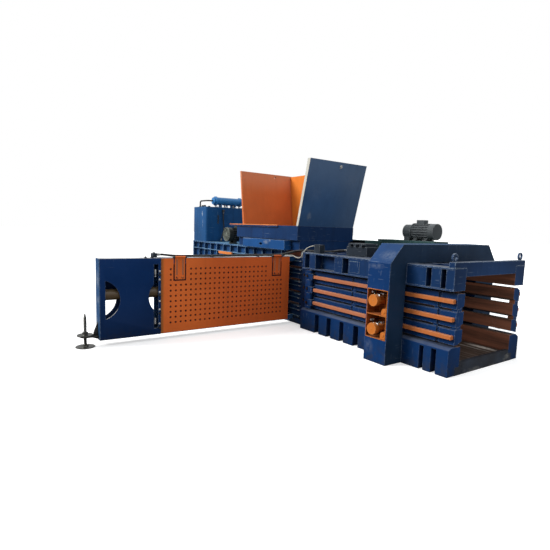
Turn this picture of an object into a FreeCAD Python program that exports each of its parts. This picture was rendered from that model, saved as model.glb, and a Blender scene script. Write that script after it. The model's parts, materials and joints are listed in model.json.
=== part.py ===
import FreeCAD, Part
import os
import math
from FreeCAD import Vector as V

os.makedirs("parts", exist_ok=True)

# ---------------------------------------------------------------- driving dimensions (mm)
# +X bale outlet, -Y needle box side, +Z up, z = 0 on the floor, x = 0 at the tying plane
X_REAR = -4250.0          # rear end of the machine
X_OUT = 3175.0            # outlet plane
Y_IN = 560.0              # half of the inner channel width
Z_FLOOR = 120.0           # top of the channel floor
Z_CEIL = 1160.0           # underside of the channel roof
Z_TOP = 1262.0            # top of side bands and wall flanges
Y_WALL = 660.0            # outer face of the press walls
Y_BAND = 790.0            # outer face of the tunnel bands
WIRE_Z = [357.0, 566.0, 775.0, 984.0]    # heights of the tie wires
WIRE_GAP = 44.0           # height of a wire slot
# tension frame
TF_X0, TF_X1 = 2165.0, 2520.0
TF_YN, TF_YF = -1089.0, 1250.0
TF_ZS, TF_ZT = 1265.0, 1497.0
# tension doors
HINGE_X, HINGE_Y = 610.0, 735.0
DOOR_X0, DOOR_X1 = 575.0, 3180.0
SLATS = [(372.0, 551.0), (581.0, 760.0), (790.0, 970.0)]
BAR_Z = [(437.0, 487.0), (645.0, 695.0), (855.0, 905.0)]
Y_SLAT = 705.0
Y_BAR = 760.0
TC_X = 2300.0             # tension cylinder axis
TC_Z = [427.0, 788.0]
# hopper
HB_X0, HB_X1 = -1990.0, 105.0
HO_X0, HO_X1 = -1740.0, 60.0
HB_Z0, HB_Z1 = 1440.0, 1690.0
H_TOP = 2785.0
# ram
RAM_FACE = -1760.0
RAM_STROKE = 1870.0
# needle box
NB_X = 100.0
NB_Y0, NB_Y1 = -3875.0, -668.0
NB_Z0, NB_Z1 = 83.0, 1172.0
NC_Z = 680.0              # needle cylinder axis height
NEEDLE_STROKE = 1390.0
# guard panel holes
HOLE_P = 77.5
HOLE_R = 9.0

NODES = {}


def box(x0, x1, y0, y1, z0, z1):
    return Part.makeBox(x1 - x0, y1 - y0, z1 - z0, V(x0, y0, z0))


def cylx(x0, x1, y, z, r):
    return Part.makeCylinder(r, x1 - x0, V(x0, y, z), V(1, 0, 0))


def cyly(y0, y1, x, z, r):
    return Part.makeCylinder(r, y1 - y0, V(x, y0, z), V(0, 1, 0))


def cylz(z0, z1, x, y, r):
    return Part.makeCylinder(r, z1 - z0, V(x, y, z0), V(0, 0, 1))


def prism_x(pts, x0, x1):
    w = Part.makePolygon([V(x0, y, z) for y, z in pts] + [V(x0, pts[0][0], pts[0][1])])
    return Part.Face(w).extrude(V(x1 - x0, 0, 0))


def prism_y(pts, y0, y1):
    w = Part.makePolygon([V(x, y0, z) for x, z in pts] + [V(pts[0][0], y0, pts[0][1])])
    return Part.Face(w).extrude(V(0, y1 - y0, 0))


def prism_z(pts, z0, z1):
    w = Part.makePolygon([V(x, y, z0) for x, y in pts] + [V(pts[0][0], pts[0][1], z0)])
    return Part.Face(w).extrude(V(0, 0, z1 - z0))


def fuse(items):
    s = items[0].multiFuse(items[1:]) if len(items) > 1 else items[0]
    return s.removeSplitter()


def group(items):
    out = []
    for i in items:
        out.extend(i.Solids)
    return Part.makeCompound(out)


def mir(s):
    return s.mirror(V(0, 0, 0), V(0, 1, 0))


def hexprism(cx, cy, cz, af, h, axis):
    r = af / math.sqrt(3.0)
    pts = [(r * math.cos(math.radians(60 * i + 30)), r * math.sin(math.radians(60 * i + 30))) for i in range(6)]
    if axis == "y":
        w = [V(cx + a, cy, cz + b) for a, b in pts]
        d = V(0, h, 0)
    elif axis == "x":
        w = [V(cx, cy + a, cz + b) for a, b in pts]
        d = V(h, 0, 0)
    else:
        w = [V(cx + a, cy + b, cz) for a, b in pts]
        d = V(0, 0, h)
    return Part.Face(Part.makePolygon(w + [w[0]])).extrude(d)


def route(points, r, name):
    """tube of radius r along straight runs joined by tangent arcs"""
    P = [V(*p) for p in points]
    edges = []
    last = P[0]
    radii = []
    for i in range(1, len(P) - 1):
        a = (P[i] - P[i - 1])
        b = (P[i + 1] - P[i])
        la, lb = a.Length, b.Length
        ua = V(a).normalize()
        ub = V(b).normalize()
        turn = ua.getAngle(ub)
        if turn < 1e-4:
            continue
        cut = 0.45 * min(la, lb)
        rad = cut / math.tan(turn / 2.0)
        radii.append(rad)
        s = P[i] - ua * cut
        e = P[i] + ub * cut
        n = ua.cross(ub).normalize()
        inward = n.cross(ua).normalize()
        c = s + inward * rad
        mid = P[i] - c
        mid = c + mid.normalize() * rad
        edges.append(Part.LineSegment(last, s).toShape())
        edges.append(Part.Arc(s, mid, e).toShape())
        last = e
    edges.append(Part.LineSegment(last, P[-1]).toShape())
    wire = Part.Wire(edges)
    t0 = (P[1] - P[0]).normalize()
    prof = Part.Wire([Part.makeCircle(r, P[0], t0)])
    tube = wire.makePipeShell([prof], True, True)
    exp = math.pi * r * r * wire.Length
    print("%s length %.0f radii %s volume ratio %.4f valid %s" % (
        name, wire.Length, [round(q) for q in radii], tube.Volume / exp, tube.isValid()))
    return tube


# ================================================================ base frame and floor
beams = []
for x0, x1 in ((X_REAR, TF_X0), (TF_X1, X_OUT - 80)):
    for y0, y1 in ((-640.0, -520.0), (-60.0, 60.0), (520.0, 640.0)):
        beams.append(box(x0, x1, y0, y1, 0, 96))
for i in range(12):
    xc = X_REAR + i * 572.0
    for y0, y1 in ((-520.0, -60.0), (60.0, 520.0)):
        beams.append(box(xc, xc + 100, y0, y1, 0, 96))
for y0, y1 in ((-520.0, -60.0), (60.0, 520.0)):
    beams.append(box(2760, 2860, y0, y1, 0, 96))
    beams.append(box(TF_X1, TF_X1 + 60, y0, y1, 0, 96))
feet = []
for sx in (-4000.0, -600.0):
    for sy in (-1, 1):
        f = box(sx - 100, sx + 100, min(sy * 640, sy * 800), max(sy * 640, sy * 800), 0, 20)
        f = f.cut(cylz(-1, 21, sx, sy * 740, 13.0))
        g = [V(sx - 8, sy * 640, 20), V(sx - 8, sy * 700, 20), V(sx - 8, sy * 640, 90)]
        rib = Part.Face(Part.makePolygon(g + [g[0]])).extrude(V(16, 0, 0))
        feet.append(fuse([f, rib]))
NODES["base_frame"] = group([fuse(beams)] + feet)

NODES["floor_plate"] = box(X_REAR + 25, X_OUT - 80, -560, 560, 96, Z_FLOOR)

# ================================================================ press walls (rear part)
def press_wall():
    parts = [box(X_REAR + 25, -330, -585, -Y_IN, 96, Z_TOP - 26)]
    parts.append(box(X_REAR + 25, -330, -Y_WALL, -Y_IN, Z_TOP - 26, Z_TOP))
    parts.append(box(X_REAR + 25, -330, -Y_WALL, -585, 96, 120))
    for z in (420, 760, 1078):
        parts.append(box(X_REAR + 25, -330, -Y_WALL + 6, -585, z, z + 16))
    n = 13
    for i in range(n):
        x = X_REAR + 25 + i * (3880.0 - 16.0 - 0.0) / (n - 1)
        parts.append(box(x, x + 16, -Y_WALL + 2, -585, 120, Z_TOP - 26))
    return fuse(parts)


wall = press_wall()
end_plate = box(X_REAR, X_REAR + 25, -Y_WALL, Y_WALL, 96, Z_TOP)
NODES["press_walls"] = group([wall, mir(wall), end_plate])

# ================================================================ rear deck
deck = [box(X_REAR + 25, HO_X0, -Y_IN, Y_IN, Z_TOP - 22, Z_TOP)]
for x in (-4100, -3560, -3020, -2480, -2070, HO_X0 - 60):
    deck.append(box(x, x + 60, -Y_IN, Y_IN, Z_CEIL + 4, Z_TOP - 22))
NODES["rear_deck"] = fuse(deck)

# ================================================================ tunnel roof
roof = [box(180, X_OUT - 80, -Y_IN, Y_IN, Z_CEIL, Z_CEIL + 28)]
for x in (180, 640, 1100, 1560, 2020, 2600, 3055):
    roof.append(box(x, x + 40, -Y_IN, Y_IN, Z_CEIL + 28, Z_TOP))
for y in (-290, 250):
    roof.append(box(180, X_OUT - 80, y, y + 40, Z_CEIL + 28, Z_TOP))
NODES["tunnel_roof"] = fuse(roof)

# ================================================================ upper side bands
def upper_band():
    y0 = -Y_BAND
    s = [box(285, X_OUT, -585, -Y_IN, 1000, Z_TOP),
         box(500, X_OUT, -650, -585, 1018, Z_TOP - 20),
         box(440, X_OUT, y0, -585, 1000, 1018),
         box(440, X_OUT, y0, -585, Z_TOP - 20, Z_TOP),
         box(440, 500, y0 + 4, -585, 1018, Z_TOP - 20)]
    for a, b in ((614, 763), (1202, 1373), (1496, 1898), (2080, 2240), (2400, 2805), (2873, 3004), (3067, X_OUT)):
        s.append(box(a, b, y0 + 4, -650, 1018, Z_TOP - 20))
    return group(s)


ub = upper_band()
NODES["upper_bands"] = group([ub, mir(ub)])

# ================================================================ lower side bands
def lower_band(bevel_y, bevel_z):
    prof = [(-Y_BAND, 0), (-640, 0), (-640, 96), (-Y_IN, 96), (-Y_IN, 345), (-Y_BAND + bevel_y, 345),
            (-Y_BAND, 345 - bevel_z)]
    s = prism_x(prof, 440, X_OUT)
    cuts = [box(TF_X0, TF_X1, -Y_BAND - 1, -500, -1, 96)]
    for a, b in ((809, 906), (1093, 1184), (1380, 1463), (1665, 1762), (2784, 2839), (2948, 3014)):
        cuts.append(box(a, b, -Y_BAND - 1, -690, -1, 296))
    return s.cut(cuts[0].multiFuse(cuts[1:])).removeSplitter()


NODES["lower_bands"] = group([lower_band(40, 27), mir(lower_band(68, 41))])

# ================================================================ tie combs
def comb():
    s = [box(-330, -290, -668, -Y_IN, 120, Z_CEIL), box(285, 440, -668, -Y_IN, 120, 1000)]
    lo = 120.0
    for z in WIRE_Z:
        hi = z - WIRE_GAP / 2
        s.append(prism_x([(-668, lo), (-Y_IN, lo), (-Y_IN, hi), (-656, hi), (-668, hi - 14)], -290, 285))
        lo = z + WIRE_GAP / 2
    s.append(box(-290, 285, -668, -Y_IN, lo, Z_CEIL))
    # spacers between the blocks, behind the outer face on both sides of the needles
    for x0, x1 in ((-290, -200), (200, 285)):
        for z in WIRE_Z:
            s.append(box(x0, x1, -640, -600, z - WIRE_GAP / 2, z + WIRE_GAP / 2))
    return group(s)


cb = comb()
NODES["tie_combs"] = group([cb, mir(cb)])

# ================================================================ hinge posts
LUGS = [(357.0, 405.0), (515.0, 615.0), (725.0, 825.0), (935.0, 985.0)]


def hinge_post():
    s = [box(440, 560, -720, -Y_IN, 345, 1000)]
    for z0, z1 in LUGS:
        s.append(cylz(z0, z1, HINGE_X, -HINGE_Y, 42))
        s.append(box(540, HINGE_X, -777, -720, z0, z1))
    b = fuse(s)
    b = b.cut(cylz(340, 1000, HINGE_X, -HINGE_Y, 25.05))
    # the leaf of the lugs stays clear of the slats' outer face
    return b


hp = hinge_post()
NODES["hinge_posts"] = group([hp, mir(hp)])
pin = cylz(352, 990, HINGE_X, -HINGE_Y, 25)
pin = fuse([pin, cylz(985, 996, HINGE_X, -HINGE_Y, 34)])
# pins of the guard panel's hinge on the needle box
HG_X, HG_Z = 112.0, 1186.0
NOTCH = [(-2862.0, -2675.0, 843.0), (-1155.0, -972.0, 850.0)]
gpins = [cyly(y0 + 16 - 30, y1 - 16 + 30, HG_X, HG_Z, 7) for y0, y1, z0 in NOTCH]
NODES["hinge_pins"] = group([pin, mir(pin)] + gpins)

# ================================================================ outlet
hb = [box(X_OUT - 80, X_OUT, -Y_BAND, Y_BAND, Z_TOP, 1330), box(X_OUT - 80, X_OUT, -Y_IN, Y_IN, Z_CEIL, Z_TOP)]
ho = fuse(hb)
# lifting eyes stand on the beam's two ends
for sy in (-1, 1):
    eye = cylx(X_OUT - 62, X_OUT - 38, sy * 735, 1378, 52)
    eye = eye.cut(cylx(X_OUT - 70, X_OUT - 30, sy * 735, 1382, 28))
    eye = eye.common(box(X_OUT - 80, X_OUT, -900, 900, 1326, 1500))
    ho = ho.fuse(eye)
NODES["outlet_head_beam"] = ho.removeSplitter()

sill = prism_y([(X_OUT - 80, 0), (X_OUT, 0), (X_OUT, 150), (X_OUT - 48, 150), (X_OUT - 80, 122)], -Y_IN, Y_IN)
sill = sill.fuse(box(X_OUT - 80, X_OUT, -640, 640, 0, 96)).removeSplitter()
SILL_HOLES = [(sy * 500.0, z) for sy in (-1, 1) for z in (30.0, 100.0)]
for y, z in SILL_HOLES:
    sill = sill.cut(cylx(X_OUT - 40, X_OUT + 1, y, z, 8.75))
NODES["outlet_sill"] = sill

# ================================================================ shear blade at the feed opening's front edge
blade = prism_y([(100, Z_CEIL), (180, Z_CEIL), (180, Z_TOP), (130, Z_TOP), (100, Z_TOP - 40)], -Y_IN, Y_IN)
NODES["shear_blade"] = blade

# ================================================================ tension frame ring
RC_Z0, RC_Z1 = 310.0, 930.0
ring = [box(TF_X0, TF_X1, TF_YN, TF_YF, 0, 96),
        prism_x([(TF_YN, Z_TOP), (TF_YN, TF_ZS), (-869, TF_ZT), (1060, TF_ZT), (TF_YF, TF_ZS), (TF_YF, Z_TOP)], TF_X0, TF_X1)]
for y_out, y_back, y_in in ((TF_YN, -850.0, -Y_BAND), (TF_YF, 1010.0, Y_BAND)):
    a, b = sorted((y_out, y_in))
    ring.append(box(TF_X0, TF_X1, a, b, 96, RC_Z0))
    ring.append(box(TF_X0, TF_X1, a, b, RC_Z1, Z_TOP))
    c, d = sorted((y_out, y_back))
    ring.append(box(TF_X0, TF_X0 + 15, c, d, RC_Z0, RC_Z1))
    ring.append(box(TF_X1 - 15, TF_X1, c, d, RC_Z0, RC_Z1))
    e, f = sorted((y_back, y_in))
    back_b = box(TF_X0, TF_X1, e, f, RC_Z0, RC_Z1)
    for z in TC_Z:
        back_b = back_b.cut(cyly(e - 1, f + 1, TC_X, z, 55.5))
    ring.append(back_b)
NODES["tension_frame"] = group(ring)


def liner(y_open, y_back):
    """open box in painted sheet inside a recess, y_open is the mouth"""
    t = 8.0
    sgn = 1 if y_back > y_open else -1
    a, b = sorted((y_open, y_back - sgn * t))
    e, f = sorted((y_back - sgn * t, y_back))
    x0, x1 = TF_X0 + 15, TF_X1 - 15
    s = [box(x0, x0 + t, a, b, RC_Z0 + t, RC_Z1 - t), box(x1 - t, x1, a, b, RC_Z0 + t, RC_Z1 - t),
         box(x0, x1, a, b, RC_Z0, RC_Z0 + t), box(x0, x1, a, b, RC_Z1 - t, RC_Z1),
         box(x0 + t, x1 - t, a, b, 605, 613)]
    bk = box(x0, x1, e, f, RC_Z0, RC_Z1)
    for z in TC_Z:
        bk = bk.cut(cyly(e - 1, f + 1, TC_X, z, 55.5))
    return s + [bk]


def recess_lug(y0, y1, z):
    """rounded lug with a pin, low in a recess pocket"""
    lug = fuse([box(2400, 2490, y0, y1, z, z + 45), cyly(y0, y1, 2445, z + 45, 45)])
    return fuse([lug, cyly(y0 - 7, y1 + 7, 2445, z + 45, 15)])


LUG_Z = (RC_Z0 + 8, 613)
lugs_n = [recess_lug(-1068, -950, z) for z in LUG_Z]
lugs_f = [recess_lug(1110, 1228, z) for z in LUG_Z]
NODES["recess_liners"] = group(liner(TF_YN - 6, -850) + liner(TF_YF + 6, 1010) + lugs_n + lugs_f)


def tcyl(z, near=True):
    if near:
        c = fuse([cyly(-1050, -800, TC_X, z, 55), cyly(-1122, -1050, TC_X, z, 75)])
        c = c.cut(cyly(-1000, -790, TC_X, z, 30.05))
        return c
    c = fuse([cyly(800, 1215, TC_X, z, 55), cyly(1215, 1282, TC_X, z, 75)])
    return c.cut(cyly(790, 1000, TC_X, z, 30.05))


NODES["tension_cylinders"] = group([tcyl(z, n) for z in TC_Z for n in (True, False)])


def trod(z):
    return fuse([cyly(-985, -785, TC_X, z, 30), cyly(-788, -772, TC_X, z, 45)])


rods = group([trod(z) for z in TC_Z])
NODES["tension_rods_near"] = rods
NODES["tension_rods_far"] = group([mir(trod(z)) for z in TC_Z])

# ================================================================ tension doors
def tension_door(top_z, top_y, low_y, ties):
    s = []
    for z0, z1 in SLATS:
        # slat with a bevel under its inner edge and over its outer edge
        by = low_y if z0 == SLATS[0][0] else 84
        wire = Part.makePolygon([V(DOOR_X0, y, z) for y, z in (
            (-Y_IN, z0 + 34), (-Y_IN, z1), (-Y_SLAT + top_y, z1), (-Y_SLAT, z1 - top_z), (-Y_SLAT, z0), (-Y_IN - by, z0), (-Y_IN, z0 + 34))])
        a = Part.Face(wire).extrude(V(DOOR_X1 - DOOR_X0, 0, 0))
        # shadow groove across the outer skin
        for gx in (1515, 2935):
            a = a.cut(box(gx, gx + 42, -Y_SLAT - 1, -Y_SLAT + 16, z0 - 1, z1 + 1))
        s.append(a)
    # ties that fill the gap between two slats
    for za, zb, low, high in ((551, 581, s[0], s[1]), (760, 790, s[1], s[2])):
        for x0, x1 in ties:
            s.append(box(x0, x1, -Y_SLAT + 17, -Y_IN - 40, za - 40, zb + 40).cut(low).cut(high))
    s.append(box(2220, 2380, -768, -Y_SLAT, 385, 955))
    knuckles = []
    for z0, z1 in ((410, 510), (620, 720), (830, 930)):
        k = fuse([cylz(z0, z1, HINGE_X, -HINGE_Y, 42), box(HINGE_X, 690, -777, -Y_SLAT, z0, z1)])
        knuckles.append(k.cut(cylz(360, 990, HINGE_X, -HINGE_Y, 25.05)))
    # seats in the slats for the knuckles, and room for the fixed lugs
    out = []
    for part in s:
        for k in knuckles:
            if part.BoundBox.intersect(k.BoundBox):
                part = part.cut(k)
        part = part.cut(cylz(360, 990, HINGE_X, -HINGE_Y, 25.05))
        for z0, z1 in LUGS:
            part = part.cut(cylz(z0 - 3, z1 + 3, HINGE_X, -HINGE_Y, 44))
        out.append(part)
    return group(out + knuckles)


NODES["tension_door_near"] = tension_door(9, 9, 84, ((DOOR_X0, 655), (1490, 1585), (2220, 2380), (2880, 2940), (3105, DOOR_X1)))
NODES["tension_door_far"] = mir(tension_door(34, 62, 143, ((DOOR_X0, 655), (1490, 1585), (2220, 2380), (3105, DOOR_X1))))


def door_bars():
    b = []
    for z0, z1 in BAR_Z:
        b.append(box(700, 2217, -Y_BAR, -Y_SLAT, z0, z1))
        b.append(box(2383, 3165, -Y_BAR, -Y_SLAT, z0, z1))
    return b


NODES["door_bars_near"] = group(door_bars())
NODES["door_bars_far"] = group([mir(b) for b in door_bars()])

# ================================================================ hopper
hbase = [box(HB_X0, HO_X0, -660, 660, HB_Z0, HB_Z1), box(HO_X1, HB_X1, -660, 660, HB_Z0, HB_Z1),
         box(HO_X0, HO_X1, -660, -600, HB_Z0, HB_Z1), box(HO_X0, HO_X1, 600, 660, HB_Z0, HB_Z1),
         box(HB_X0, HO_X0, -600, 600, Z_TOP, HB_Z0), box(HO_X1, HB_X1 - 5, -600, 600, Z_TOP, HB_Z0),
         box(HO_X0, HO_X1, -600, -Y_IN, Z_TOP, HB_Z0), box(HO_X0, HO_X1, Y_IN, 600, Z_TOP, HB_Z0)]
for i in range(5):
    hbase.append(box(HB_X0 + 40 + i * 490, HB_X0 + 56 + i * 490, 600, 655, Z_TOP, HB_Z0))
NODES["hopper_base"] = group(hbase)

H_T = 50.0
rear_p = prism_y([(-1765, HB_Z1), (-1765 + H_T, HB_Z1), (-1925 + H_T, H_TOP), (-1925, H_TOP)], -655, 655)
n_r = V(H_TOP - HB_Z1, 0, 160).normalize()
hole_r = Part.makeCylinder(22, 200, V(-1900, 190, H_TOP - 70) - n_r * 100, n_r)
NODES["hopper_rear_panel"] = rear_p.cut(hole_r)
front_p = prism_y([(55, HB_Z1), (105, HB_Z1), (372, H_TOP + 15), (322, H_TOP + 15)], -650, 650)
n_f = V(H_TOP + 15 - HB_Z1, 0, -267).normalize()
hole_f = Part.makeCylinder(22, 200, V(330, 40, H_TOP - 70) - n_f * 100, n_f)
NODES["hopper_front_panel"] = front_p.cut(hole_f)
far_p = prism_y([(-1715, HB_Z1), (55, HB_Z1), (322, H_TOP + 15 - 12), (-1875, H_TOP - 12)], 600, 650)
far_p = far_p.cut(rear_p).cut(front_p)
NODES["hopper_far_panel"] = far_p

lip = fuse([box(-2280, -480, -680, -620, HB_Z1, HB_Z1 + 14), box(-2280, -480, -680, -664, HB_Z1 - 34, HB_Z1)])
step_bar = box(-2770, -2160, -690, -658, 1030, 1085)
NODES["feed_lip_and_step"] = group([lip.cut(rear_p), step_bar])

sb = box(-1560, -130, -760, -604, Z_TOP, 1430)
sb = sb.cut(box(-1548, -142, -748, -616, Z_TOP - 1, 1418))
sb = sb.cut(fuse([cyly(-770, -740, -930, 1340, 20), cyly(-770, -740, -870, 1340, 20), box(-930, -870, -770, -740, 1320, 1360)]))
NODES["side_box_beam"] = sb

# ================================================================ hydraulic power pack
TX0, TX1 = -4250.0, -3500.0
tank = box(TX0, TX1, -660, 660, Z_TOP, 2085)
vert = [e for e in tank.Edges if abs(e.Vertexes[0].X - e.Vertexes[1].X) < 1e-6 and abs(e.Vertexes[0].Y - e.Vertexes[1].Y) < 1e-6]
tank = tank.makeFillet(60, vert)
inner = box(TX0 + 8, TX1 - 8, -652, 652, Z_TOP + 8, 2100)
vi = [e for e in inner.Edges if abs(e.Vertexes[0].X - e.Vertexes[1].X) < 1e-6 and abs(e.Vertexes[0].Y - e.Vertexes[1].Y) < 1e-6]
inner = inner.makeFillet(52, vi)
NODES["oil_tank"] = tank.cut(inner)
lid = box(TX0, TX1, -660, 660, 2085, 2097)
vl = [e for e in lid.Edges if abs(e.Vertexes[0].X - e.Vertexes[1].X) < 1e-6 and abs(e.Vertexes[0].Y - e.Vertexes[1].Y) < 1e-6]
lid = lid.makeFillet(60, vl)
breather = fuse([cylz(2097, 2140, -4040, 320, 30), cylz(2140, 2185, -4040, 320, 46)])
level = fuse([cylz(2097, 2125, -3850, 470, 55)])
NODES["tank_lid"] = fuse([lid, breather, level])

CX, CZ = -3600.0, 2245.0
cooler = [cyly(-370, 290, CX, CZ, 92), cyly(-392, -352, CX, CZ, 112), cyly(272, 312, CX, CZ, 112),
          cyly(-440, -392, CX, CZ, 84), cyly(312, 352, CX, CZ, 84)]
for y in (-250, 150):
    cooler.append(box(CX - 70, CX + 70, y, y + 24, 2097, CZ - 40))
cooler.append(cylz(2097, CZ - 60, CX, -60, 24))
cooler.append(cylz(2097, CZ - 60, CX, 60, 24))
NODES["oil_cooler"] = fuse(cooler)

def rigid_pipe(points, r, bend):
    """tube with one bend radius, for steel pipes"""
    P = [V(*p) for p in points]
    edges, last = [], P[0]
    for i in range(1, len(P) - 1):
        ua = (P[i] - P[i - 1]).normalize()
        ub = (P[i + 1] - P[i]).normalize()
        turn = ua.getAngle(ub)
        cut = bend * math.tan(turn / 2.0)
        s, e = P[i] - ua * cut, P[i] + ub * cut
        n = ua.cross(ub).normalize()
        c = s + n.cross(ua).normalize() * bend
        mid = c + (P[i] - c).normalize() * bend
        edges += [Part.LineSegment(last, s).toShape(), Part.Arc(s, mid, e).toShape()]
        last = e
    edges.append(Part.LineSegment(last, P[-1]).toShape())
    prof = Part.Wire([Part.makeCircle(r, P[0], (P[1] - P[0]).normalize())])
    return Part.Wire(edges).makePipeShell([prof], True, True)


spipe = rigid_pipe([(-4010, -585, 2112), (-4010, -585, CZ), (CX, -585, CZ), (CX, -440, CZ)], 17, 60)
NODES["suction_pipe"] = fuse([spipe, cylz(2097, 2112, -4010, -585, 34)])

MX, MZ = -2400.0, 1470.0
motor = [cyly(-590, -150, MX, MZ, 128), cyly(-150, -118, MX, MZ, 150)]
for i in range(20):
    f = box(-3.5, 3.5, -580, -160, 120, 147)
    f.rotate(V(0, 0, 0), V(0, 1, 0), i * 18.0)
    f.translate(V(MX, 0, MZ))
    motor.append(f)
motor.append(box(MX - 60, MX + 60, -470, -300, MZ + 120, MZ + 186))
for y in (-560, -240):
    motor.append(box(MX - 130, MX + 130, y, y + 80, Z_TOP, Z_TOP + 24))
    motor.append(box(MX - 90, MX - 66, y, y + 80, Z_TOP + 24, MZ - 70))
    motor.append(box(MX + 66, MX + 90, y, y + 80, Z_TOP + 24, MZ - 70))
mot = fuse(motor)
mot = mot.cut(cyly(-600, -110, MX, MZ, 24.05))
NODES["main_motor"] = mot

cover = cyly(-690, -590, MX, MZ, 148).cut(cyly(-682, -589, MX, MZ, 141))
slots = []
for ring_r, n, w in ((38, 6, 14), (70, 10, 16), (104, 14, 18)):
    for i in range(n):
        a = 2 * math.pi * i / n
        slots.append(cyly(-700, -680, MX + ring_r * math.cos(a), MZ + ring_r * math.sin(a), w * 0.62))
for s_ in slots:
    cover = cover.cut(s_)
# the cover's rim sits on the motor's end
NODES["fan_cover"] = fuse([cover, cyly(-598, -590, MX, MZ, 142).cut(cyly(-599, -589, MX, MZ, 60))])

rotor = [cyly(-672, -60, MX, MZ, 24), cyly(-668, -650, MX, MZ, 60)]
for i in range(8):
    b = box(-3, 3, -660, -612, 22, 130)
    b.rotate(V(0, 0, 0), V(0, 1, 0), i * 45.0)
    b.translate(V(MX, 0, MZ))
    rotor.append(b)
NODES["motor_rotor"] = fuse(rotor)

pump = [cyly(-118, -100, MX, MZ, 150), cyly(-100, 40, MX, MZ, 118), cyly(40, 70, MX, MZ, 130), cyly(70, 300, MX, MZ, 88),
        cylz(MZ + 60, MZ + 130, MX, 190, 34), box(MX - 130, MX + 130, 30, 80, Z_TOP, MZ - 60)]
pu = fuse(pump).cut(cyly(-119, -40, MX, MZ, 60))
NODES["pump_unit"] = pu

# ================================================================ valve manifold on the tunnel roof
VM_X0, VM_X1, VM_Y0, VM_Y1 = 1080.0, 1500.0, -430.0, -150.0
man = [box(VM_X0, VM_X1, VM_Y0, VM_Y1, Z_TOP, 1400)]
for x in (1130, 1250, 1370):
    man.append(box(x, x + 80, -400, -180, 1400, 1452))
    man.append(cyly(-470, -400, x + 40, 1426, 24))
    man.append(cyly(-180, -120, x + 40, 1426, 24))
for y in (-370, -230):
    man.append(cylx(VM_X0 - 36, VM_X0, y, 1330, 22))
NODES["valve_manifold"] = fuse(man)
jb = box(640, 770, -720, -610, Z_TOP, 1400)

# ================================================================ knotter on the far side
KX0, KX1, KY1, KZ1 = -320.0, 420.0, 1100.0, 1465.0
KSX, KSY = 0.0, 800.0
kh = [box(KX0, KX0 + 8, 668, KY1, 0, KZ1 - 8), box(KX1 - 8, KX1, 668, KY1, 0, KZ1 - 8),
      box(KX0 + 8, KX1 - 8, KY1 - 8, KY1, 0, KZ1 - 8), box(KX0, KX1, 668, KY1, KZ1 - 8, KZ1),
      box(KX0 + 8, KX1 - 8, 700, KY1 - 8, 0, 12)]
for z0, z1 in ((170, 190), (1110, 1130)):
    kh.append(box(KX0 + 8, KX1 - 8, 700, KY1 - 8, z0, z1).cut(cylz(160, 1140, KSX, KSY, 30.05)))
# drive cabinet beside it
DX0, DX1, DY0, DY1, DZ1 = 330.0, 1560.0, 1100.0, 1500.0, 1500.0
kh += [box(DX0, DX1, DY0, DY0 + 8, 0, DZ1 - 10), box(DX0, DX1, DY1 - 8, DY1, 0, DZ1 - 10),
       box(DX0, DX0 + 8, DY0 + 8, DY1 - 8, 0, DZ1 - 10), box(DX1 - 8, DX1, DY0 + 8, DY1 - 8, 0, DZ1 - 10),
       box(DX0, DX1, DY0, DY1, DZ1 - 10, DZ1)]
NODES["knotter_housing"] = group(kh)
kshaft = [cylz(160, 1200, KSX, KSY, 30)]
for z in WIRE_Z:
    kshaft.append(cylz(z - 14, z + 14, KSX, KSY, 60))
    kshaft.append(cylz(z - 14, z + 14, KSX - 44, KSY + 24, 32))
    kshaft.append(cylz(z - 14, z + 14, KSX + 48, KSY + 12, 26))
kshaft.append(cylz(1150, 1172, KSX, KSY, 95))
NODES["knotter_shaft"] = fuse(kshaft)

KMX0, KMY, KMZ, KMR = 820.0, 1310.0, 1662.0, 140.0
AM = [cylx(KMX0, KMX0 + 170, KMY, KMZ, KMR - 18), cylx(KMX0 + 170, KMX0 + 530, KMY, KMZ, KMR - 16),
      cylx(KMX0 + 530, KMX0 + 640, KMY, KMZ, KMR), cylx(KMX0 + 165, KMX0 + 185, KMY, KMZ, KMR + 8),
      box(KMX0 + 250, KMX0 + 400, KMY - 60, KMY + 60, KMZ + KMR - 30, KMZ + KMR + 62)]
for a in (KMX0 + 220, KMX0 + 430):
    AM.append(box(a, a + 70, KMY - 120, KMY + 120, DZ1, DZ1 + 18))
    AM.append(box(a, a + 70, KMY - 80, KMY + 80, DZ1 + 18, KMZ - 80))
AM.append(box(KMX0 + 20, KMX0 + 140, KMY - 90, KMY + 90, DZ1, KMZ - 60))
for i in range(20):
    f = box(KMX0 + 190, KMX0 + 520, -3, 3, KMR - 20, KMR + 2)
    f.rotate(V(0, 0, 0), V(1, 0, 0), i * 18.0)
    f.translate(V(0, KMY, KMZ))
    AM.append(f)
NODES["knotter_drive_motor"] = fuse(AM)

# ================================================================ needle box
NB_YI = NB_Y0 + 8
frame_p = [box(-92, 92, NB_YI, NB_Y1, NB_Z1 - 12, NB_Z1), box(-92, 92, NB_YI, NB_Y1, NB_Z0, NB_Z0 + 12)]
for sx in (-1, 1):
    a, b = sorted((sx * 80.0, sx * 92.0))
    frame_p.append(box(a, b, NB_YI, NB_Y1, 1090, NB_Z1 - 12))
    frame_p.append(box(a, b, NB_YI, NB_Y1, NB_Z0 + 12, 165))
    frame_p.append(box(a, b, -3085, -3045, 165, 1090))
frame_p.append(box(-NB_X, NB_X, NB_Y0, NB_YI, NB_Z0, NB_Z1))
# bracket of the levelling foot on the end plate
FX, FY = 0.0, -4035.0
brk = prism_x([(NB_Y0, 330), (NB_Y0, 90), (-3985, 128), (-3985, 146), (-3931, 146), (-3931, 186)], -12, 12)
br = fuse([brk, box(-60, 60, FY, NB_Y0, 128, 146), cylz(128, 146, FX, FY, 60)])
frame_p.append(br.cut(cylz(120, 150, FX, FY, 20.1)))
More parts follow.
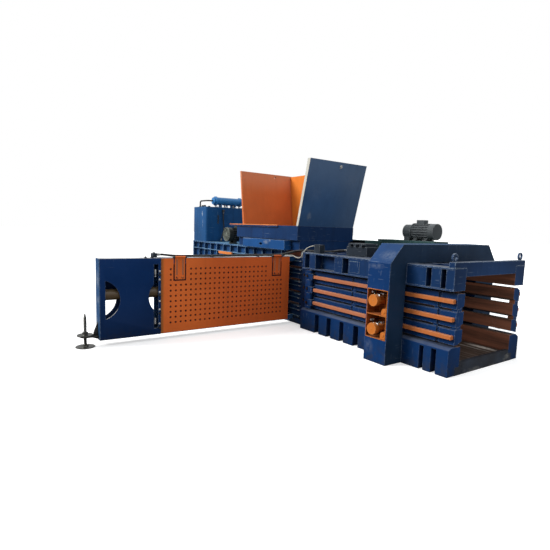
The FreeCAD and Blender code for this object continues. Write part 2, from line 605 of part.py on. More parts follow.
# lugs of the guard panel's hinge on the top channel
for y0, y1, z0 in NOTCH:
    a, b = y0 + 16, y1 - 16
    for c0, c1 in ((a - 26, a - 3), (b + 3, b + 26)):
        l = fuse([box(70, HG_X, c0, c1, NB_Z1, HG_Z + 13), cyly(c0, c1, HG_X, HG_Z, 13)])
        frame_p.append(l.cut(cyly(c0 - 1, c1 + 1, HG_X, HG_Z, 7)))
NODES["needle_box_frame"] = group(frame_p)

D_R, D_Z = 270.0, 622.0
D_BACK_Z = 648.0
DL0, DL1 = -3797.0, -3609.0
DR0, DR1 = -3219.0, -3149.0
DR1_BACK = -3086.0


def d_plate(x0, x1, y_end, slot):
    """plate with two D cut-outs, in strips that meet edge to edge"""
    xa, xb = x0 - 1, x1 + 1
    cl = cylx(xa, xb, -3879, D_Z, D_R)
    cr = cylx(xa, xb, -2949, D_Z, D_R)
    s = [box(x0, x1, NB_YI, DL0, NB_Z0, NB_Z1), box(x0, x1, DL1, DR0, NB_Z0, NB_Z1)]
    rows = [(NB_Z0, D_Z), (D_Z, NB_Z1)] if slot else [(NB_Z0, D_Z), (D_Z, D_BACK_Z)]
    dr1 = DR1 if slot else DR1_BACK
    for za, zb in rows:
        s.append(box(x0, x1, DL0, DL1, za, zb).cut(cl))
        s.append(box(x0, x1, DR0, dr1, za, zb).cut(cr))
    if not slot:
        s += [box(x0, x1, DL0, DL1, D_BACK_Z, NB_Z1), box(x0, x1, DR0, dr1, D_BACK_Z, NB_Z1)]
    if slot:
        s += [box(x0, x1, DR1, y_end, 1085, NB_Z1), box(x0, x1, DR1, y_end, NB_Z0, 175),
              box(x0, x1, -3085, y_end, 175, 1085)]
    else:
        s.append(box(x0, x1, dr1, y_end, NB_Z0, NB_Z1))
    return s


NODES["needle_box_plates"] = group(d_plate(92.0, NB_X, -3050.0, True) + d_plate(-NB_X, -92.0, NB_Y1, False))

ncyl = cyly(-3830, -2260, 0, NC_Z, 75)
ncyl = fuse([ncyl, cyly(-3867, -3830, 0, NC_Z, 60), cyly(-2300, -2260, 0, NC_Z, 88), cyly(-3830, -3790, 0, NC_Z, 88),
             box(-92, 92, -2330, -2300, 560, 800)])
ncyl = ncyl.cut(cyly(-3795, -2340, 0, NC_Z, 60)).cut(cyly(-2341, -2250, 0, NC_Z, 35.05))
NODES["needle_cylinder"] = ncyl
NODES["needle_rod"] = fuse([cyly(-3740, -2230, 0, NC_Z, 35), cyly(-3788, -3740, 0, NC_Z, 59.9)])

car = [box(-45, 45, -2230, -2130, 205, 1050)]
for zc, dz in ((1124.0, 1), (131.0, -1)):
    a, b = sorted((zc, 1050 if dz > 0 else 205))
    car.append(box(-45, -32, -2215, -2145, a - (14 if dz < 0 else 0), b + (14 if dz > 0 else 0)))
    car.append(box(32, 45, -2215, -2145, a - (14 if dz < 0 else 0), b + (14 if dz > 0 else 0)))
    car.append(cylx(-30, 30, -2180, zc, 30))
    car.append(cylx(-46, 46, -2180, zc, 9))
NODES["needle_carriage"] = fuse(car)
nd = []
for z in WIRE_Z:
    p = prism_z([(-30, -2130), (30, -2130), (30, -820), (12, -705), (-12, -705), (-30, -820)], z - 9, z + 9)
    p = p.cut(cylz(z - 20, z + 20, 0, -735, 5.0))
    nd.append(p)
NODES["tying_needles"] = group(nd)

# ---------------------------------------------------------------- guard panel with its hole grid
GP_Y0, GP_Y1, GP_Z0, GP_Z1 = -3044.0, -800.0, 90.0, 1165.0
GP_X0, GP_X1 = 93.0, 98.0
panel = box(GP_X0, GP_X1, GP_Y0, GP_Y1, GP_Z0, GP_Z1)
Y_H0, Z_H0 = -2904.0, 1010.0
holes = []
for c in range(26):
    for rr in range(11):
        y = Y_H0 + c * HOLE_P
        z = Z_H0 - rr * HOLE_P
        if rr < 3 and (c in (1, 2, 3) or c >= 22):
            continue
        holes.append(cylx(GP_X0 - 1, GP_X1 + 1, y, z, HOLE_R))
for y0, y1, z0 in NOTCH:
    u = box(GP_X0 - 1, GP_X1 + 1, y0, y1, z0, GP_Z1 + 1).cut(box(GP_X0 - 2, GP_X1 + 2, y0 + 16, y1 - 16, z0 + 16, GP_Z1 + 2))
    holes.append(u)
    panel = panel.cut(box(GP_X0 - 1, GP_X1 + 1, y0, y1, z0, GP_Z1 + 1))
panel = panel.cut(Part.makeCompound([h for h in holes if len(h.Faces) == 3]))
NODES["guard_panel"] = panel

hang = []
for y0, y1, z0 in NOTCH:
    a, b = y0 + 16, y1 - 16
    hang.append(box(GP_X0, GP_X0 + 10, a, b, z0 + 16, 1150))
    hang.append(prism_y([(GP_X0, 1150), (GP_X0 + 10, 1150), (HG_X + 4, 1174), (HG_X - 8, 1178)], a, b))
    hang.append(cyly(a, b, HG_X, HG_Z, 13))
    # cross strip behind the panel that ties the strap to the sheet
strips = [box(83, GP_X0, y0 - 60, y1 + 60, z0 - 50, z0 + 90) for y0, y1, z0 in NOTCH]
bolts = []
for y0, y1, z0 in NOTCH:
    for yb in (y0 + 59, y1 - 53):
        bolts.append(hexprism(GP_X0 + 10, yb, z0 + 52, 26, 9, "x"))
hg = []
for k in range(2):
    s = fuse(hang[3 * k:3 * k + 3] + [strips[k]] + bolts[2 * k:2 * k + 2])
    y0, y1, z0 = NOTCH[k]
    s = s.cut(cyly(y0, y1, HG_X, HG_Z, 7.05))
    hg.append(s)
NODES["guard_hangers"] = group(hg)

# ---------------------------------------------------------------- levelling foot
nut = fuse([cylz(148, 166, FX, FY, 100), hexprism(FX, FY, 166, 62, 34, "z")])
NODES["foot_nut"] = nut.cut(cylz(140, 210, FX, FY, 20.05))
NODES["foot_screw"] = fuse([cylz(10, 447, FX, FY, 20), cylz(0, 10, FX, FY, 121), cylz(10, 30, FX, FY, 42)])

# ================================================================ main cylinder and ram
MCZ = 640.0
mc = fuse([cylx(X_REAR + 25, -2205, 0, MCZ, 160), cylx(X_REAR + 25, X_REAR + 75, 0, MCZ, 215), cylx(-2205, -2120, 0, MCZ, 178)])
mc = mc.cut(cylx(X_REAR + 65, -2205, 0, MCZ, 140)).cut(cylx(-2206, -2110, 0, MCZ, 90.05))
NODES["main_cylinder"] = mc
NODES["ram_rod"] = fuse([cylx(-4090, -2060, 0, MCZ, 90), cylx(-4170, -4090, 0, MCZ, 139.9), cylx(-2110, -2060, 0, MCZ, 170)])

RX0, RX1 = -3710.0, -2060.0
shell = [box(RX0, RX1, -553, 553, 124, 150), box(RX0, RX1, -553, -528, 150, 1125), box(RX0, RX1, 528, 553, 150, 1125),
         box(RX0, RX1, -553, 553, 1125, 1150), box(RX1, RX1 + 40, -553, 553, 124, 1150)]
NODES["ram_shell"] = group(shell)
pl = []
lo = 124.0
for z in WIRE_Z + [None]:
    hi = z - WIRE_GAP / 2 if z else 1150.0
    p = box(RX1 + 40, RAM_FACE, -553, 553, lo, hi)
    if z is None:
        p = prism_y([(RX1 + 40, lo), (RAM_FACE, lo), (RAM_FACE, 1154), (RAM_FACE - 30, 1154), (RAM_FACE - 40, 1150), (RX1 + 40, 1150)], -553, 553)
    pl.append(p)
    if z:
        lo = z + WIRE_GAP / 2
NODES["ram_platens"] = group(pl)

# ================================================================ hexagon bolts, one size
hb_ = []
for sy in (-1, 1):
    for z in (440, 560, 670, 770, 880, 970):
        x = 500
        y = -720 if sy < 0 else 720
        hb_.append(hexprism(x, y - (16 if sy < 0 else 0), z, 36, 16, "y"))
for x in (-310, 360):
    for z in (200, 460, 670, 880):
        hb_.append(hexprism(x, -668 - 16, z, 36, 16, "y"))
for z in (177, 388, 647, 939):
    hb_.append(hexprism(NB_X, -3067, z, 30, 14, "x"))
NODES["hex_bolts"] = group(hb_)

# ================================================================ hoses and cable (radius, route)
HOSE_R = 15.0
HOSE_A = [(1044, -370, 1330), (930, -370, 1330), (800, -398, 1306), (680, -468, 1283), (560, -556, 1281),
          (435, -630, 1282), (305, -694, 1287), (175, -764, 1267), (62, -868, 1216), (8, -1010, 1192),
          (-8, -1200, 1190), (-20, -1420, 1190), (-16, -1660, 1190), (5, -1900, 1190), (30, -2140, 1190),
          (25, -2380, 1190), (-5, -2620, 1190), (-25, -2840, 1193), (-28, -2970, 1212), (-28, -3070, 1212)]
HOSE_B = [(1044, -230, 1330), (940, -230, 1330), (800, -262, 1304), (660, -340, 1282), (520, -430, 1281),
          (385, -524, 1282), (250, -610, 1284), (120, -700, 1262), (12, -820, 1210), (-40, -980, 1192),
          (-62, -1180, 1190), (-72, -1420, 1190), (-69, -1660, 1190), (-45, -1900, 1190), (-22, -2140, 1190),
          (-25, -2380, 1190), (-50, -2620, 1190), (-68, -2830, 1193), (-72, -2970, 1212), (-72, -3070, 1212)]
NODES["needle_hose_a"] = route(HOSE_A, HOSE_R, "needle_hose_a")
NODES["needle_hose_b"] = route(HOSE_B, HOSE_R, "needle_hose_b")
TANK_HOSE = [(-3474, -215, 1990), (-3474, -215, 1925), (-3468, -222, 1830), (-3458, -212, 1710), (-3446, -206, 1600),
             (-3436, -226, 1510), (-3426, -258, 1430), (-3421, -282, 1360), (-3420, -288, 1292)]
NODES["tank_hose"] = route(TANK_HOSE, 13.0, "tank_hose")
CABLE_R = 8.0
CABLE = [(80, -925, 1192), (80, -870, 1193), (92, -822, 1198), (122, -786, 1196), (168, -768, 1182), (222, -762, 1163),
         (282, -762, 1155), (340, -764, 1166), (386, -766, 1198), (417, -764, 1246), (447, -754, 1298),
         (490, -732, 1340), (541, -706, 1366), (592, -688, 1376), (640, -680, 1376)]
NODES["control_cable"] = route(CABLE, CABLE_R, "control_cable")

# fittings that the hoses and the cable come out of
fit = fuse([box(-100, 0, -3130, -3070, NB_Z1, 1230), cylz(1230, 1244, -50, -3100, 20)])
gland = box(62, 92, -961, -925, NB_Z1, 1206)
union = fuse([box(-3500, -3452, -240, -190, 1990, 2040), cylx(-3452, -3440, -215, 2015, 14)])
socket = cylz(Z_TOP, 1294, -3420, -288, 24)
cords = [NODES[k] for k in ("needle_hose_a", "needle_hose_b", "tank_hose", "control_cable")]
NODES["hose_fittings"] = group([f.cut(Part.makeCompound(cords)) for f in (fit, gland, jb, union, socket)])

for k in list(NODES):
    sh = NODES[k]
    sols = sh.Solids
    if not sols:
        raise SystemExit("no solid in " + k)
    out = sh if len(sols) > 1 else sols[0]
    if not out.isValid():
        print("INVALID", k)
    out.exportStep("parts/%s.step" % k)
print(len(NODES), "nodes")
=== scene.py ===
import bpy
import bmesh
import json
import math
import random
from mathutils import Matrix, Vector

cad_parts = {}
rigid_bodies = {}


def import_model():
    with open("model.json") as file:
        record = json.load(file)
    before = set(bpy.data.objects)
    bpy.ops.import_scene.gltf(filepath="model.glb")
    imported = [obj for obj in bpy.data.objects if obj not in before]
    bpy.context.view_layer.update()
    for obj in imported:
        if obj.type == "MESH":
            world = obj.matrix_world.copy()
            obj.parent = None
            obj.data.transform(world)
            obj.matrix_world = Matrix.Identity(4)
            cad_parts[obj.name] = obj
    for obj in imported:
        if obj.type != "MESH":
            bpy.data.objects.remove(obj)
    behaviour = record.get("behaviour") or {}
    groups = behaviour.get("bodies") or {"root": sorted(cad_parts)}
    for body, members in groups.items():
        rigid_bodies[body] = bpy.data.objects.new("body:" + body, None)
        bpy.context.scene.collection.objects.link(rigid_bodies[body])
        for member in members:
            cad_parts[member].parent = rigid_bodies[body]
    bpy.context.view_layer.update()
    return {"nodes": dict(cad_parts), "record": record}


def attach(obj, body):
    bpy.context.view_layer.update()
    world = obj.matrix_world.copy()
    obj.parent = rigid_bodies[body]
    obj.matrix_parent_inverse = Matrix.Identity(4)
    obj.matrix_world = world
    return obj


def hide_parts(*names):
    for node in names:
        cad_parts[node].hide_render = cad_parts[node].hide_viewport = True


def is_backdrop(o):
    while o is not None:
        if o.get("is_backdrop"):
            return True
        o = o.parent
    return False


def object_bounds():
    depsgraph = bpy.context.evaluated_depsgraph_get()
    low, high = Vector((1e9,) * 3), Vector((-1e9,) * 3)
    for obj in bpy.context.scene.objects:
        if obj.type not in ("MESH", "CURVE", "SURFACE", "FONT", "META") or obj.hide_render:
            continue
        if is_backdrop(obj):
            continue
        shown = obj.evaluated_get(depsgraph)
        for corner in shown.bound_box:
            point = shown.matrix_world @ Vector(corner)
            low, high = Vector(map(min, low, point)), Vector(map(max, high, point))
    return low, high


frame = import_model()
N = frame["nodes"]
BODY = {n: b for b, ns in frame["record"]["behaviour"]["bodies"].items() for n in ns}
scene = bpy.context.scene
random.seed(7)

# ---------------------------------------------------------------- camera
AZ, PITCH, ROLL = math.radians(55.3), math.radians(6.37), math.radians(1.91)
fwd = Vector((-math.sin(AZ) * math.cos(PITCH), math.cos(AZ) * math.cos(PITCH), -math.sin(PITCH)))
right = Vector((math.cos(AZ), math.sin(AZ), 0.0))
up = right.cross(fwd)
R = right * math.cos(ROLL) + up * math.sin(ROLL)
U = up * math.cos(ROLL) - right * math.sin(ROLL)
cam_data = bpy.data.cameras.new("camera")
cam_data.sensor_width = 36.0
cam_data.lens = 27.82
cam_data.clip_end = 300.0
cam = bpy.data.objects.new("camera", cam_data)
scene.collection.objects.link(cam)
cam.matrix_world = Matrix(((R.x, U.x, -fwd.x, 5.907), (R.y, U.y, -fwd.y, -5.115), (R.z, U.z, -fwd.z, 1.650), (0, 0, 0, 1)))
scene.camera = cam
scene.view_settings.view_transform = "Standard"
LIGHT = {"key": 3.1, "minus_x": 0.95, "plus_x": 1.0, "low": 0.50, "top": 1.15, "bounce": 0.18, "outlet": 3.0}


# ---------------------------------------------------------------- shader helpers
def scaled(c, k):
    return tuple(min(1.0, v * k) for v in c)


def blended(a, b, t):
    return tuple(x * (1 - t) + y * t for x, y in zip(a, b))


class Mat:
    """a node material in object coordinates, which are metres in the row frame"""

    def __init__(self, name):
        self.m = bpy.data.materials.new(name)
        self.m.use_nodes = True
        self.nt = self.m.node_tree
        self.nt.nodes.clear()
        self.out = self.nt.nodes.new("ShaderNodeOutputMaterial")
        self.b = self.nt.nodes.new("ShaderNodeBsdfPrincipled")
        self.nt.links.new(self.b.outputs[0], self.out.inputs[0])
        self.tc = self.nt.nodes.new("ShaderNodeTexCoord")
        s = self.nt.nodes.new("ShaderNodeSeparateXYZ")
        self.link(self.tc.outputs["Object"], s.inputs[0])
        self.x, self.y, self.z = s.outputs
        n = self.nt.nodes.new("ShaderNodeSeparateXYZ")
        self.link(self.tc.outputs["Normal"], n.inputs[0])
        self.nx, self.ny, self.nz = n.outputs

    def link(self, a, b):
        self.nt.links.new(a, b)

    def put(self, socket, v):
        if isinstance(v, bpy.types.NodeSocket):
            self.link(v, socket)
        elif isinstance(v, (tuple, list)) and len(v) == 3 and len(socket.default_value) == 4:
            socket.default_value = (*v, 1.0)
        else:
            socket.default_value = v

    def math(self, op, a, b=None, clamp=False):
        n = self.nt.nodes.new("ShaderNodeMath")
        n.operation = op
        n.use_clamp = clamp
        self.put(n.inputs[0], a)
        if b is not None:
            self.put(n.inputs[1], b)
        return n.outputs[0]

    def mul(self, *vs):
        r = vs[0]
        for v in vs[1:]:
            r = self.math("MULTIPLY", r, v)
        return r

    def step(self, v, lo, hi, to0=0.0, to1=1.0):
        n = self.nt.nodes.new("ShaderNodeMapRange")
        n.interpolation_type = "SMOOTHSTEP"
        flip = lo > hi
        if flip:
            lo, hi, to0, to1 = hi, lo, to1, to0
        self.put(n.inputs["Value"], v)
        n.inputs["From Min"].default_value = lo
        n.inputs["From Max"].default_value = hi
        n.inputs["To Min"].default_value = to0
        n.inputs["To Max"].default_value = to1
        return n.outputs["Result"]

    def coords(self, stretch=None, shift=(0, 0, 0)):
        if stretch is None and shift == (0, 0, 0):
            return self.tc.outputs["Object"]
        n = self.nt.nodes.new("ShaderNodeMapping")
        self.link(self.tc.outputs["Object"], n.inputs["Vector"])
        n.inputs["Scale"].default_value = stretch or (1, 1, 1)
        n.inputs["Location"].default_value = shift
        return n.outputs[0]

    def noise(self, scale, detail=3.0, rough=0.5, stretch=None, shift=(0, 0, 0), dist=0.0):
        n = self.nt.nodes.new("ShaderNodeTexNoise")
        n.inputs["Scale"].default_value = scale
        n.inputs["Detail"].default_value = detail
        n.inputs["Roughness"].default_value = rough
        n.inputs["Distortion"].default_value = dist
        self.link(self.coords(stretch, shift), n.inputs["Vector"])
        return n.outputs["Fac"]

    def mixc(self, f, a, b):
        n = self.nt.nodes.new("ShaderNodeMix")
        n.data_type = "RGBA"
        n.clamp_factor = True
        self.put(n.inputs[0], f)
        self.put(n.inputs[6], a)
        self.put(n.inputs[7], b)
        return n.outputs[2]

    def edges(self, radius, lo, hi):
        """1 along convex and concave edges, 0 on open faces"""
        n = self.nt.nodes.new("ShaderNodeBevel")
        n.samples = 4
        n.inputs["Radius"].default_value = radius
        g = self.nt.nodes.new("ShaderNodeNewGeometry")
        d = self.nt.nodes.new("ShaderNodeVectorMath")
        d.operation = "DOT_PRODUCT"
        self.link(n.outputs[0], d.inputs[0])
        self.link(g.outputs["Normal"], d.inputs[1])
        return self.step(self.math("SUBTRACT", 1.0, d.outputs["Value"]), lo, hi)

    # darkening from ambient occlusion: painted shade in corners and recesses
    def occlusion_shade(self, distance, lo=0.25, hi=0.85):
        n = self.nt.nodes.new("ShaderNodeAmbientOcclusion")
        n.samples = 4
        n.inputs["Distance"].default_value = distance
        return self.step(self.math("SUBTRACT", 1.0, n.outputs["AO"]), lo, hi)

    def spot(self, centre, radii, strength):
        """a soft patch in an ellipsoid round a point"""
        n = self.nt.nodes.new("ShaderNodeMapping")
        self.link(self.tc.outputs["Object"], n.inputs["Vector"])
        n.inputs["Scale"].default_value = tuple(1.0 / r for r in radii)
        n.inputs["Location"].default_value = tuple(-c / r for c, r in zip(centre, radii))
        d = self.nt.nodes.new("ShaderNodeVectorMath")
        d.operation = "LENGTH"
        self.link(n.outputs[0], d.inputs[0])
        return self.math("MULTIPLY", self.step(d.outputs["Value"], 1.0, 0.15), strength)

    def bump(self, height, distance, strength=1.0, under=None):
        n = self.nt.nodes.new("ShaderNodeBump")
        n.inputs["Strength"].default_value = strength
        n.inputs["Distance"].default_value = distance
        self.link(height, n.inputs["Height"])
        if under is not None:
            self.link(under, n.inputs["Normal"])
        return n.outputs[0]

    def const(self, **kw):
        for k, v in kw.items():
            s = self.b.inputs[k.replace("_", " ")]
            s.default_value = (*v, 1.0) if isinstance(v, tuple) and len(v) == 3 else v
        return self


def paint(name, base, vary=0.16, rough=0.42, dust_and_sheen=0.50, dust_and_sheen_col=(0.15, 0.16, 0.17), wear_and_highlight=0.7, wear_and_highlight_col=(0.20, 0.25, 0.32),
          streak=0.30, grime_and_shade=(0.006, 0.007, 0.009), low=0.5, spots=(), spot_col=None, rust=None, fade=(), scratch=0.30, dents=0.0022, spec=0.10, patch_k=0.30, edge_r=0.011, outside=None, below=None, holes=False, top_edge_highlight=None):
    g = Mat(name)
    col = g.mixc(g.step(g.noise(0.85, 5, 0.55), 0.36, 0.64), scaled(base, 1 - vary), scaled(base, 1 + vary))
    patch = g.step(g.noise(4.6, 7, 0.62, shift=(3.1, 0.4, 1.7)), 0.52, 0.74)
    col = g.mixc(g.mul(patch, patch_k), col, blended(scaled(base, 1.45), (0.30, 0.31, 0.33), 0.045))
    for axis, lo, hi, fcol, k in fade:
        col = g.mixc(g.mul(g.step({"x": g.x, "y": g.y, "z": g.z}[axis], lo, hi), k), col, fcol)
    if below:
        col = g.mixc(g.mul(g.step(g.z, below[0] + 0.004, below[0] - 0.004), g.step(g.z, 1.3, 1.32)), col, below[1])
    if holes:
        # dirt round the punched holes of the grid
        dy = g.math("PINGPONG", g.math("ADD", g.y, 2.904), 0.03875)
        dz = g.math("PINGPONG", g.math("SUBTRACT", g.z, 1.010), 0.03875)
        d = g.math("SQRT", g.math("ADD", g.mul(dy, dy), g.mul(dz, dz)))
        area = g.mul(g.step(g.y, -2.93, -2.925), g.step(g.y, -0.945, -0.95), g.step(g.z, 0.205, 0.21), g.step(g.z, 1.035, 1.03))
        near_l = g.mul(g.step(g.y, -2.866, -2.862), g.step(g.y, -2.632, -2.636), g.step(g.z, 0.81, 0.815))
        near_r = g.mul(g.step(g.y, -1.236, -1.232), g.step(g.z, 0.81, 0.815))
        free = g.math("SUBTRACT", 1.0, g.math("MAXIMUM", near_l, near_r))
        col = g.mixc(g.mul(g.step(d, 0.0190, 0.0120), area, free, 0.92), col, (0.060, 0.005, 0.001))
    # thin runs of grime down the faces
    run = g.step(g.noise(2.6, 6, 0.62, stretch=(3.4, 3.4, 0.20)), 0.50, 0.74)
    col = g.mixc(g.mul(run, streak), col, grime_and_shade)
    # dirt and painted shade in the corners: darkened where ambient occlusion finds a crevice, broken up by noise
    dirt_and_shade = g.mul(g.occlusion_shade(0.14), g.step(g.noise(9.0, 4), 0.30, 0.62))
    col = g.mixc(g.mul(dirt_and_shade, 0.62), col, grime_and_shade)
    # splashed dirt near the floor
    if low > 0:
        splash = g.mul(g.step(g.math("ADD", g.z, g.mul(g.noise(5.0, 6, 0.65), 0.26)), 0.42, 0.12), g.step(g.noise(16.0, 4), 0.38, 0.62))
        col = g.mixc(g.mul(splash, low), col, (0.030, 0.030, 0.030))
    # scratches in two directions, and rubbed patches
    sc1 = g.step(g.noise(15.0, 2, 0.4, stretch=(0.35, 0.35, 7.0)), 0.690, 0.720)
    sc2 = g.step(g.noise(13.0, 2, 0.4, stretch=(5.0, 5.0, 0.5), shift=(2, 5, 1)), 0.700, 0.730)
    sc = g.mul(g.math("MAXIMUM", sc1, sc2), g.step(g.noise(1.7, 3, shift=(9, 2, 4)), 0.46, 0.60))
    col = g.mixc(g.mul(sc, scratch), col, wear_and_highlight_col)
    # worn edges with a painted highlight line along them, broken up
    chip = g.step(g.noise(34.0, 5, 0.65), 0.40, 0.56)
    edge = g.mul(g.edges(edge_r, 0.015, 0.16), g.math("ADD", g.mul(chip, 0.75), 0.25))
    # the top flange's edges carry the full painted highlight, lower edges less
    if top_edge_highlight:
        edge = g.mul(edge, g.step(g.z, top_edge_highlight - 0.020, top_edge_highlight - 0.008, 0.42, 1.0))
    col = g.mixc(g.mul(edge, wear_and_highlight), col, wear_and_highlight_col)
    for centre, radii, k in spots:
        m = g.mul(g.spot(centre, radii, k), g.step(g.noise(22.0, 5, 0.6), 0.30, 0.58))
        col = g.mixc(m, col, spot_col or (0.22, 0.26, 0.32))
    if outside:
        # the faces that look one way have another colour: a second paint on the hopper panels, painted shade on the
        # frame's +X faces
        axis, lo, hi, ocol = outside
        other = g.mixc(g.step(g.noise(1.1, 5, 0.55, shift=(4, 4, 1)), 0.36, 0.64), scaled(ocol, 0.84), scaled(ocol, 1.16))
        other = g.mixc(g.mul(run, 0.26), other, scaled(ocol, 0.35))
        other = g.mixc(g.mul(dirt_and_shade, 0.5), other, scaled(ocol, 0.25))
        other = g.mixc(g.mul(sc, scratch), other, blended(ocol, (0.40, 0.44, 0.48), 0.45))
        other = g.mixc(g.mul(edge, wear_and_highlight * 0.7), other, blended(ocol, (0.40, 0.44, 0.48), 0.50))
        col = g.mixc(g.step({"x": g.nx, "y": g.ny}[axis], lo, hi), col, other)
    # dust and painted sheen on what looks up
    upward = g.mul(g.step(g.nz, 0.55, 0.93), g.step(g.noise(3.4, 6, 0.6), 0.18, 0.66, 0.45, 1.0))
    col = g.mixc(g.mul(upward, dust_and_sheen), col, dust_and_sheen_col)
    if rust:
        a = g.math("ADD", g.math("ABSOLUTE", g.y), g.mul(g.math("SUBTRACT", g.noise(7.0, 4), 0.5), 0.02))
        inside = g.mul(g.step(a, rust + 0.008, rust - 0.008), g.step(g.z, 0.088, 0.10), g.step(g.z, 1.190, 1.176))
        inside = g.mul(inside, g.step(g.math("ABSOLUTE", g.nx), 0.92, 0.70))
        rub = g.noise(2.2, 7, 0.66, stretch=(0.30, 2.2, 4.5))
        rcol = g.mixc(g.step(rub, 0.30, 0.70), (0.062, 0.032, 0.024), (0.250, 0.098, 0.058))
        rcol = g.mixc(g.mul(g.step(g.noise(9.0, 6, 0.7, stretch=(0.4, 1, 3)), 0.58, 0.76), 0.32), rcol, (0.20, 0.13, 0.10))
        rcol = g.mixc(g.mul(g.step(g.nz, -0.6, -0.95), 0.75), rcol, (0.060, 0.052, 0.042))
        rcol = g.mixc(g.mul(upward, 0.40), rcol, (0.25, 0.20, 0.16))
        col = g.mixc(inside, col, rcol)
    g.link(col, g.b.inputs["Base Color"])
    r = g.math("ADD", g.math("ADD", g.mul(patch, 0.12), g.mul(upward, 0.30)), g.math("ADD", g.mul(run, 0.10), rough))
    g.link(r, g.b.inputs["Roughness"])
    g.const(Metallic=0.0)
    g.b.inputs["Specular IOR Level"].default_value = spec
    h = g.bump(g.noise(1.9, 2, 0.4), dents * 4, 0.45)
    h = g.bump(g.noise(150.0, 2, 0.5), 0.0005, 0.35, under=h)
    g.link(h, g.b.inputs["Normal"])
    return g.m


def steel(name, base=(0.46, 0.46, 0.45), rough=0.34, rust=0.15, grain=(1, 1, 9), metallic=1.0):
    g = Mat(name)
    col = g.mixc(g.step(g.noise(14.0, 6, 0.6, stretch=grain), 0.30, 0.70), scaled(base, 0.72), scaled(base, 1.22))
    rst = g.mul(g.step(g.noise(11.0, 7, 0.68), 0.56, 0.72), rust)
    col = g.mixc(rst, col, (0.17, 0.075, 0.035))
    # painted shade: near black in corners and recesses, from ambient occlusion
    col = g.mixc(g.mul(g.occlusion_shade(0.05), 0.55), col, (0.020, 0.019, 0.018))
    g.link(col, g.b.inputs["Base Color"])
    g.link(g.math("ADD", g.mul(g.noise(60.0, 3, 0.6, stretch=grain), 0.22), rough - 0.08), g.b.inputs["Roughness"])
    g.const(Metallic=metallic)
    g.link(g.bump(g.noise(90.0, 3, 0.6, stretch=grain), 0.0006, 0.4), g.b.inputs["Normal"])
    return g.m


def wear_plate(name, dark=(0.030, 0.021, 0.016), mid=(0.085, 0.054, 0.038), pale=(0.115, 0.092, 0.078), grain=(0.22, 3.0, 3.0), spots=()):
    """plate that bales rub along: rust between polished streaks"""
    g = Mat(name)
    col = g.mixc(g.step(g.noise(2.0, 7, 0.68), 0.34, 0.66), dark, mid)
    rub = g.step(g.noise(5.0, 6, 0.6, stretch=grain), 0.50, 0.66)
    col = g.mixc(g.mul(rub, 0.62), col, pale)
    bits = g.step(g.noise(46.0, 3, 0.6), 0.66, 0.74)
    col = g.mixc(g.mul(bits, 0.5), col, (0.30, 0.27, 0.22))
    # near-white spots: painted pools of light
    for centre, radii, k in spots:
        m = g.mul(g.spot(centre, radii, k), g.step(g.noise(14.0, 5, 0.6), 0.25, 0.50))
        col = g.mixc(m, col, (0.80, 0.76, 0.70))
    g.link(col, g.b.inputs["Base Color"])
    g.link(g.step(rub, 0.0, 1.0, 0.62, 0.34), g.b.inputs["Roughness"])
    g.const(Metallic=0.2)
    g.link(g.bump(g.noise(26.0, 5, 0.6), 0.0016, 0.5), g.b.inputs["Normal"])
    return g.m


def rubber(name, base=(0.010, 0.010, 0.011), rough=0.52):
    g = Mat(name)
    col = g.mixc(g.step(g.noise(18.0, 4, 0.6), 0.35, 0.7), base, blended(base, (0.10, 0.10, 0.10), 0.25))
    dusty = g.mul(g.step(g.nz, 0.45, 0.95), g.step(g.noise(9.0, 5), 0.35, 0.65), 0.22)
    col = g.mixc(dusty, col, (0.12, 0.12, 0.115))
    g.link(col, g.b.inputs["Base Color"])
    g.link(g.math("ADD", g.mul(g.noise(40.0, 2), 0.16), rough - 0.06), g.b.inputs["Roughness"])
    g.b.inputs["Specular IOR Level"].default_value = 0.3
    g.link(g.bump(g.noise(420.0, 2), 0.0005, 0.5), g.b.inputs["Normal"])
    return g.m


BLUE = (0.0030, 0.0240, 0.0900)
m_blue = paint("blue paint", BLUE, rust=0.628)
# painted shade: the frame's +X faces take another blue through outside=
m_frame = paint("frame blue paint", (0.0030, 0.0290, 0.1120), streak=0.22, wear_and_highlight=0.8, wear_and_highlight_col=(0.24, 0.31, 0.38), dust_and_sheen=0.45, dust_and_sheen_col=(0.070, 0.115, 0.155), outside=("x", 0.5, 0.7, (0.0120, 0.0310, 0.0680)),
                spots=[((2.30, -1.09, 1.22), (0.16, 0.05, 0.05), 0.25), ((2.24, -1.09, 0.20), (0.10, 0.05, 0.12), 0.18), ((2.42, -1.00, 1.36), (0.20, 0.12, 0.10), 0.22)])
# its edges carry wear and a painted highlight line, strongest on the top flange
m_band = paint("band blue paint", (0.0055, 0.0270, 0.0880), rust=0.628, wear_and_highlight=1.0, wear_and_highlight_col=(0.36, 0.45, 0.54), edge_r=0.015, dust_and_sheen=0.65, top_edge_highlight=1.262)
m_comb = paint("comb blue paint", (0.0040, 0.0190, 0.0640), rust=0.574, wear_and_highlight=0.9, wear_and_highlight_col=(0.22, 0.30, 0.38))
m_ledge = paint("ledge paint", (0.010, 0.036, 0.080), wear_and_highlight=1.0, wear_and_highlight_col=(0.16, 0.22, 0.28), dust_and_sheen=0.95, dust_and_sheen_col=(0.12, 0.17, 0.21))
m_wall = paint("rear blue paint", (0.0160, 0.0620, 0.1800), rust=0.574, streak=0.38, wear_and_highlight=1.0, wear_and_highlight_col=(0.30, 0.50, 0.66), edge_r=0.018, dust_and_sheen=0.75, dust_and_sheen_col=(0.13, 0.26, 0.36))
m_navy = paint("navy paint", (0.0040, 0.0300, 0.1220), streak=0.16, wear_and_highlight=0.75, dust_and_sheen=0.90, dust_and_sheen_col=(0.50, 0.50, 0.50), scratch=0.10,
               fade=[("z", 0.95, 0.15, (0.0040, 0.0170, 0.0620), 0.65)], patch_k=0.2)
